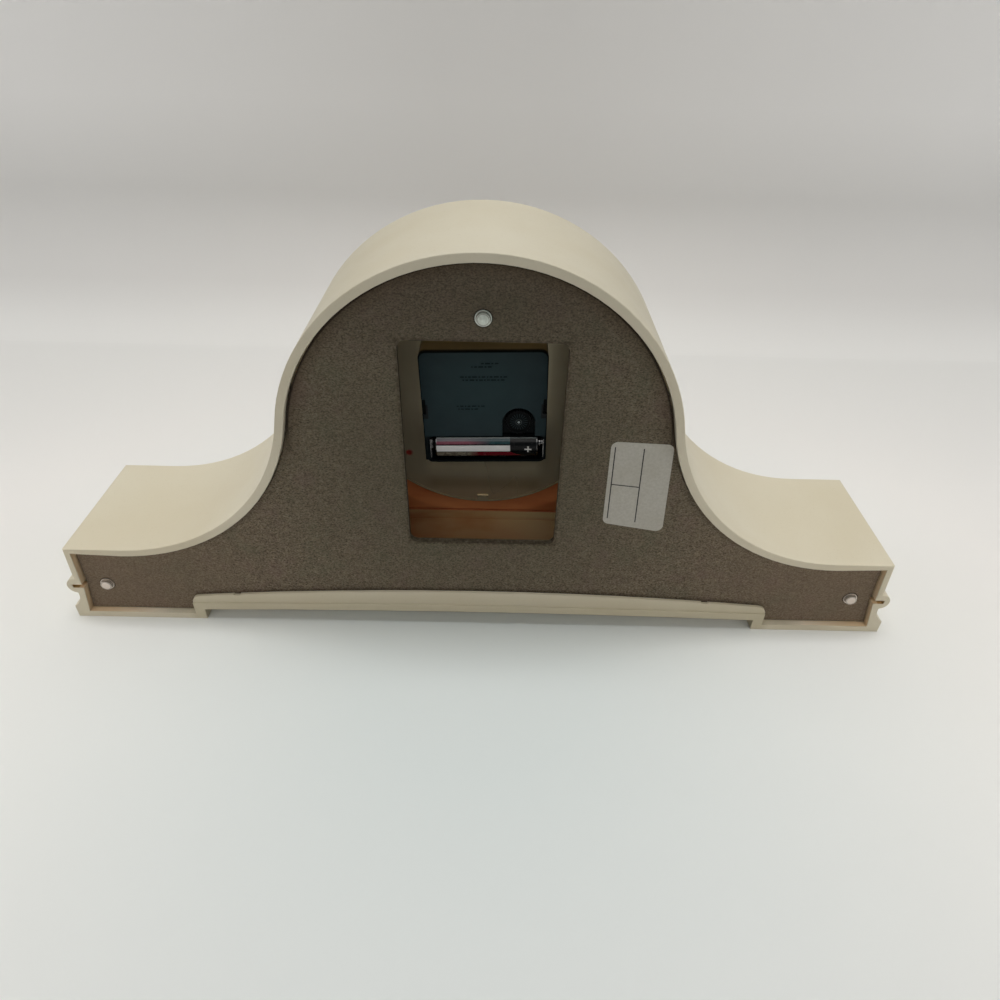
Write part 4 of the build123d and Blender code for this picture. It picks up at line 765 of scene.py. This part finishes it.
def wall_grey():
    """Pale grey that glows faintly upwards and towards its sides, and can be seen through from behind."""
    p, camera_ray = sweep_paint("wall_grey", lin(226, 224, 221), lin(214, 214, 212))
    x, _, z = p.axes()
    p.over(p.times(p.fall(z, 0.0, 0.030), camera_ray), SWEEP_TONE)
    glow = p.node("ShaderNodeEmission")
    p.put(glow.inputs["Color"], GLOW)
    rise = p.spread(z, 0.02, 0.17, 0.02, 0.20)
    side = p.spread(p.math("ABSOLUTE", x), 0.05, 0.38, 0.55, 1.0)
    p.put(glow.inputs["Strength"], p.times(rise, side, camera_ray))
    added = p.node("ShaderNodeAddShader")
    p.link(p.shader.outputs[0], added.inputs[0])
    p.link(glow.outputs[0], added.inputs[1])
    one_way = p.node("ShaderNodeMixShader")
    p.link(p.node("ShaderNodeNewGeometry").outputs["Backfacing"], one_way.inputs[0])
    p.link(added.outputs[0], one_way.inputs[1])
    p.link(p.node("ShaderNodeBsdfTransparent").outputs[0], one_way.inputs[2])
    p.link(one_way.outputs[0], p.tree.nodes["Material Output"].inputs["Surface"])
    return p.mat


WALL_Y, WALL_TOP, BEND, OFF_FLOOR = -0.372, 2.2, 0.10, 0.00005
curve = [(WALL_Y + BEND - BEND * math.sin(math.radians(a)), BEND - BEND * math.cos(math.radians(a)) + OFF_FLOOR)
         for a in range(0, 91, 5)]
sheet("floor", [(REACH, 0.0), (-REACH, 0.0)], floor_white(), False)
sheet("wall", curve + [(WALL_Y, WALL_TOP)], wall_grey(), True)


# Light: a dim pale room that is bright to the camera, a large soft lamp overhead, and weaker ones in front,
# behind and at both sides

ROOM_LIGHT, ROOM_SEEN = 0.13, 0.85
world = bpy.data.worlds.new("room")
bpy.context.scene.world = world
world.use_nodes = True
room = world.node_tree
background = room.nodes["Background"]
background.inputs["Color"].default_value = (0.92, 0.98, 1.0, 1)
seen = room.nodes.new("ShaderNodeLightPath").outputs
either = room.nodes.new("ShaderNodeMath")
either.operation = "MAXIMUM"
room.links.new(seen["Is Camera Ray"], either.inputs[0])
room.links.new(seen["Is Transmission Ray"], either.inputs[1])
level = room.nodes.new("ShaderNodeMapRange")
level.inputs["To Min"].default_value = ROOM_LIGHT
level.inputs["To Max"].default_value = ROOM_SEEN
room.links.new(either.outputs[0], level.inputs["Value"])
room.links.new(level.outputs[0], background.inputs["Strength"])

DAYLIGHT = (1.0, 0.985, 0.965)


def lamp(name, at, to, size, watts, colour=DAYLIGHT, spread=180):
    data = bpy.data.lights.new(name, "AREA")
    data.shape = "DISK"
    data.size = size
    data.energy = watts
    data.color = colour
    data.spread = math.radians(spread)
    made = bpy.data.objects.new(name, data)
    bpy.context.scene.collection.objects.link(made)
    made.location = at
    made.rotation_euler = (Vector(to) - Vector(at)).to_track_quat("-Z", "Y").to_euler()


lamp("overhead", (0.03, -0.34, 2.10), (0, 0, 0.05), 1.4, 36.5)
lamp("front", (0.0, -1.90, 0.62), (0, 0, 0.08), 1.0, 6.0)
lamp("behind", (0.0, 1.40, 1.30), (0, 0, 0.08), 1.0, 4.2, (1.0, 0.97, 0.93))
for side in (1, -1):
    lamp("end_fill", (side * 0.45, 0.36, 0.26), (side * 0.20, 0.03, 0.03), 0.22, 0.042, (1.0, 0.90, 0.77), 50)
    lamp("flank", (side * 1.30, -0.25, 1.10), (0, 0, 0.08), 0.8, 4.0)


# Camera, at the photograph's place

CAMERA_AT = (-0.007275, 0.28184, 0.25943)
YAW, PITCH, ROLL = -0.0057, -0.6436, -0.0242
turn = Matrix.Rotation(ROLL, 3, "Z") @ Matrix.Rotation(PITCH, 3, "X") @ Matrix.Rotation(YAW, 3, "Y")


def own_way(a):
    """A direction given as right, up and away in the photograph, in the part's own axes."""
    return Vector((-a[0], -a[2], a[1]))


right, up, away = (own_way(turn[i]) for i in range(3))
camera_data = bpy.data.cameras.new("camera")
camera_data.sensor_fit = "HORIZONTAL"
camera_data.sensor_width = 36.0
camera_data.lens = 25.68
camera_data.clip_start = 0.01
camera = bpy.data.objects.new("camera", camera_data)
bpy.context.scene.collection.objects.link(camera)
camera.matrix_world = Matrix.Translation(CAMERA_AT) @ Matrix(
    ((right.x, up.x, -away.x), (right.y, up.y, -away.y), (right.z, up.z, -away.z))).to_4x4()
bpy.context.scene.camera = camera

bpy.context.scene.view_settings.view_transform = "Standard"
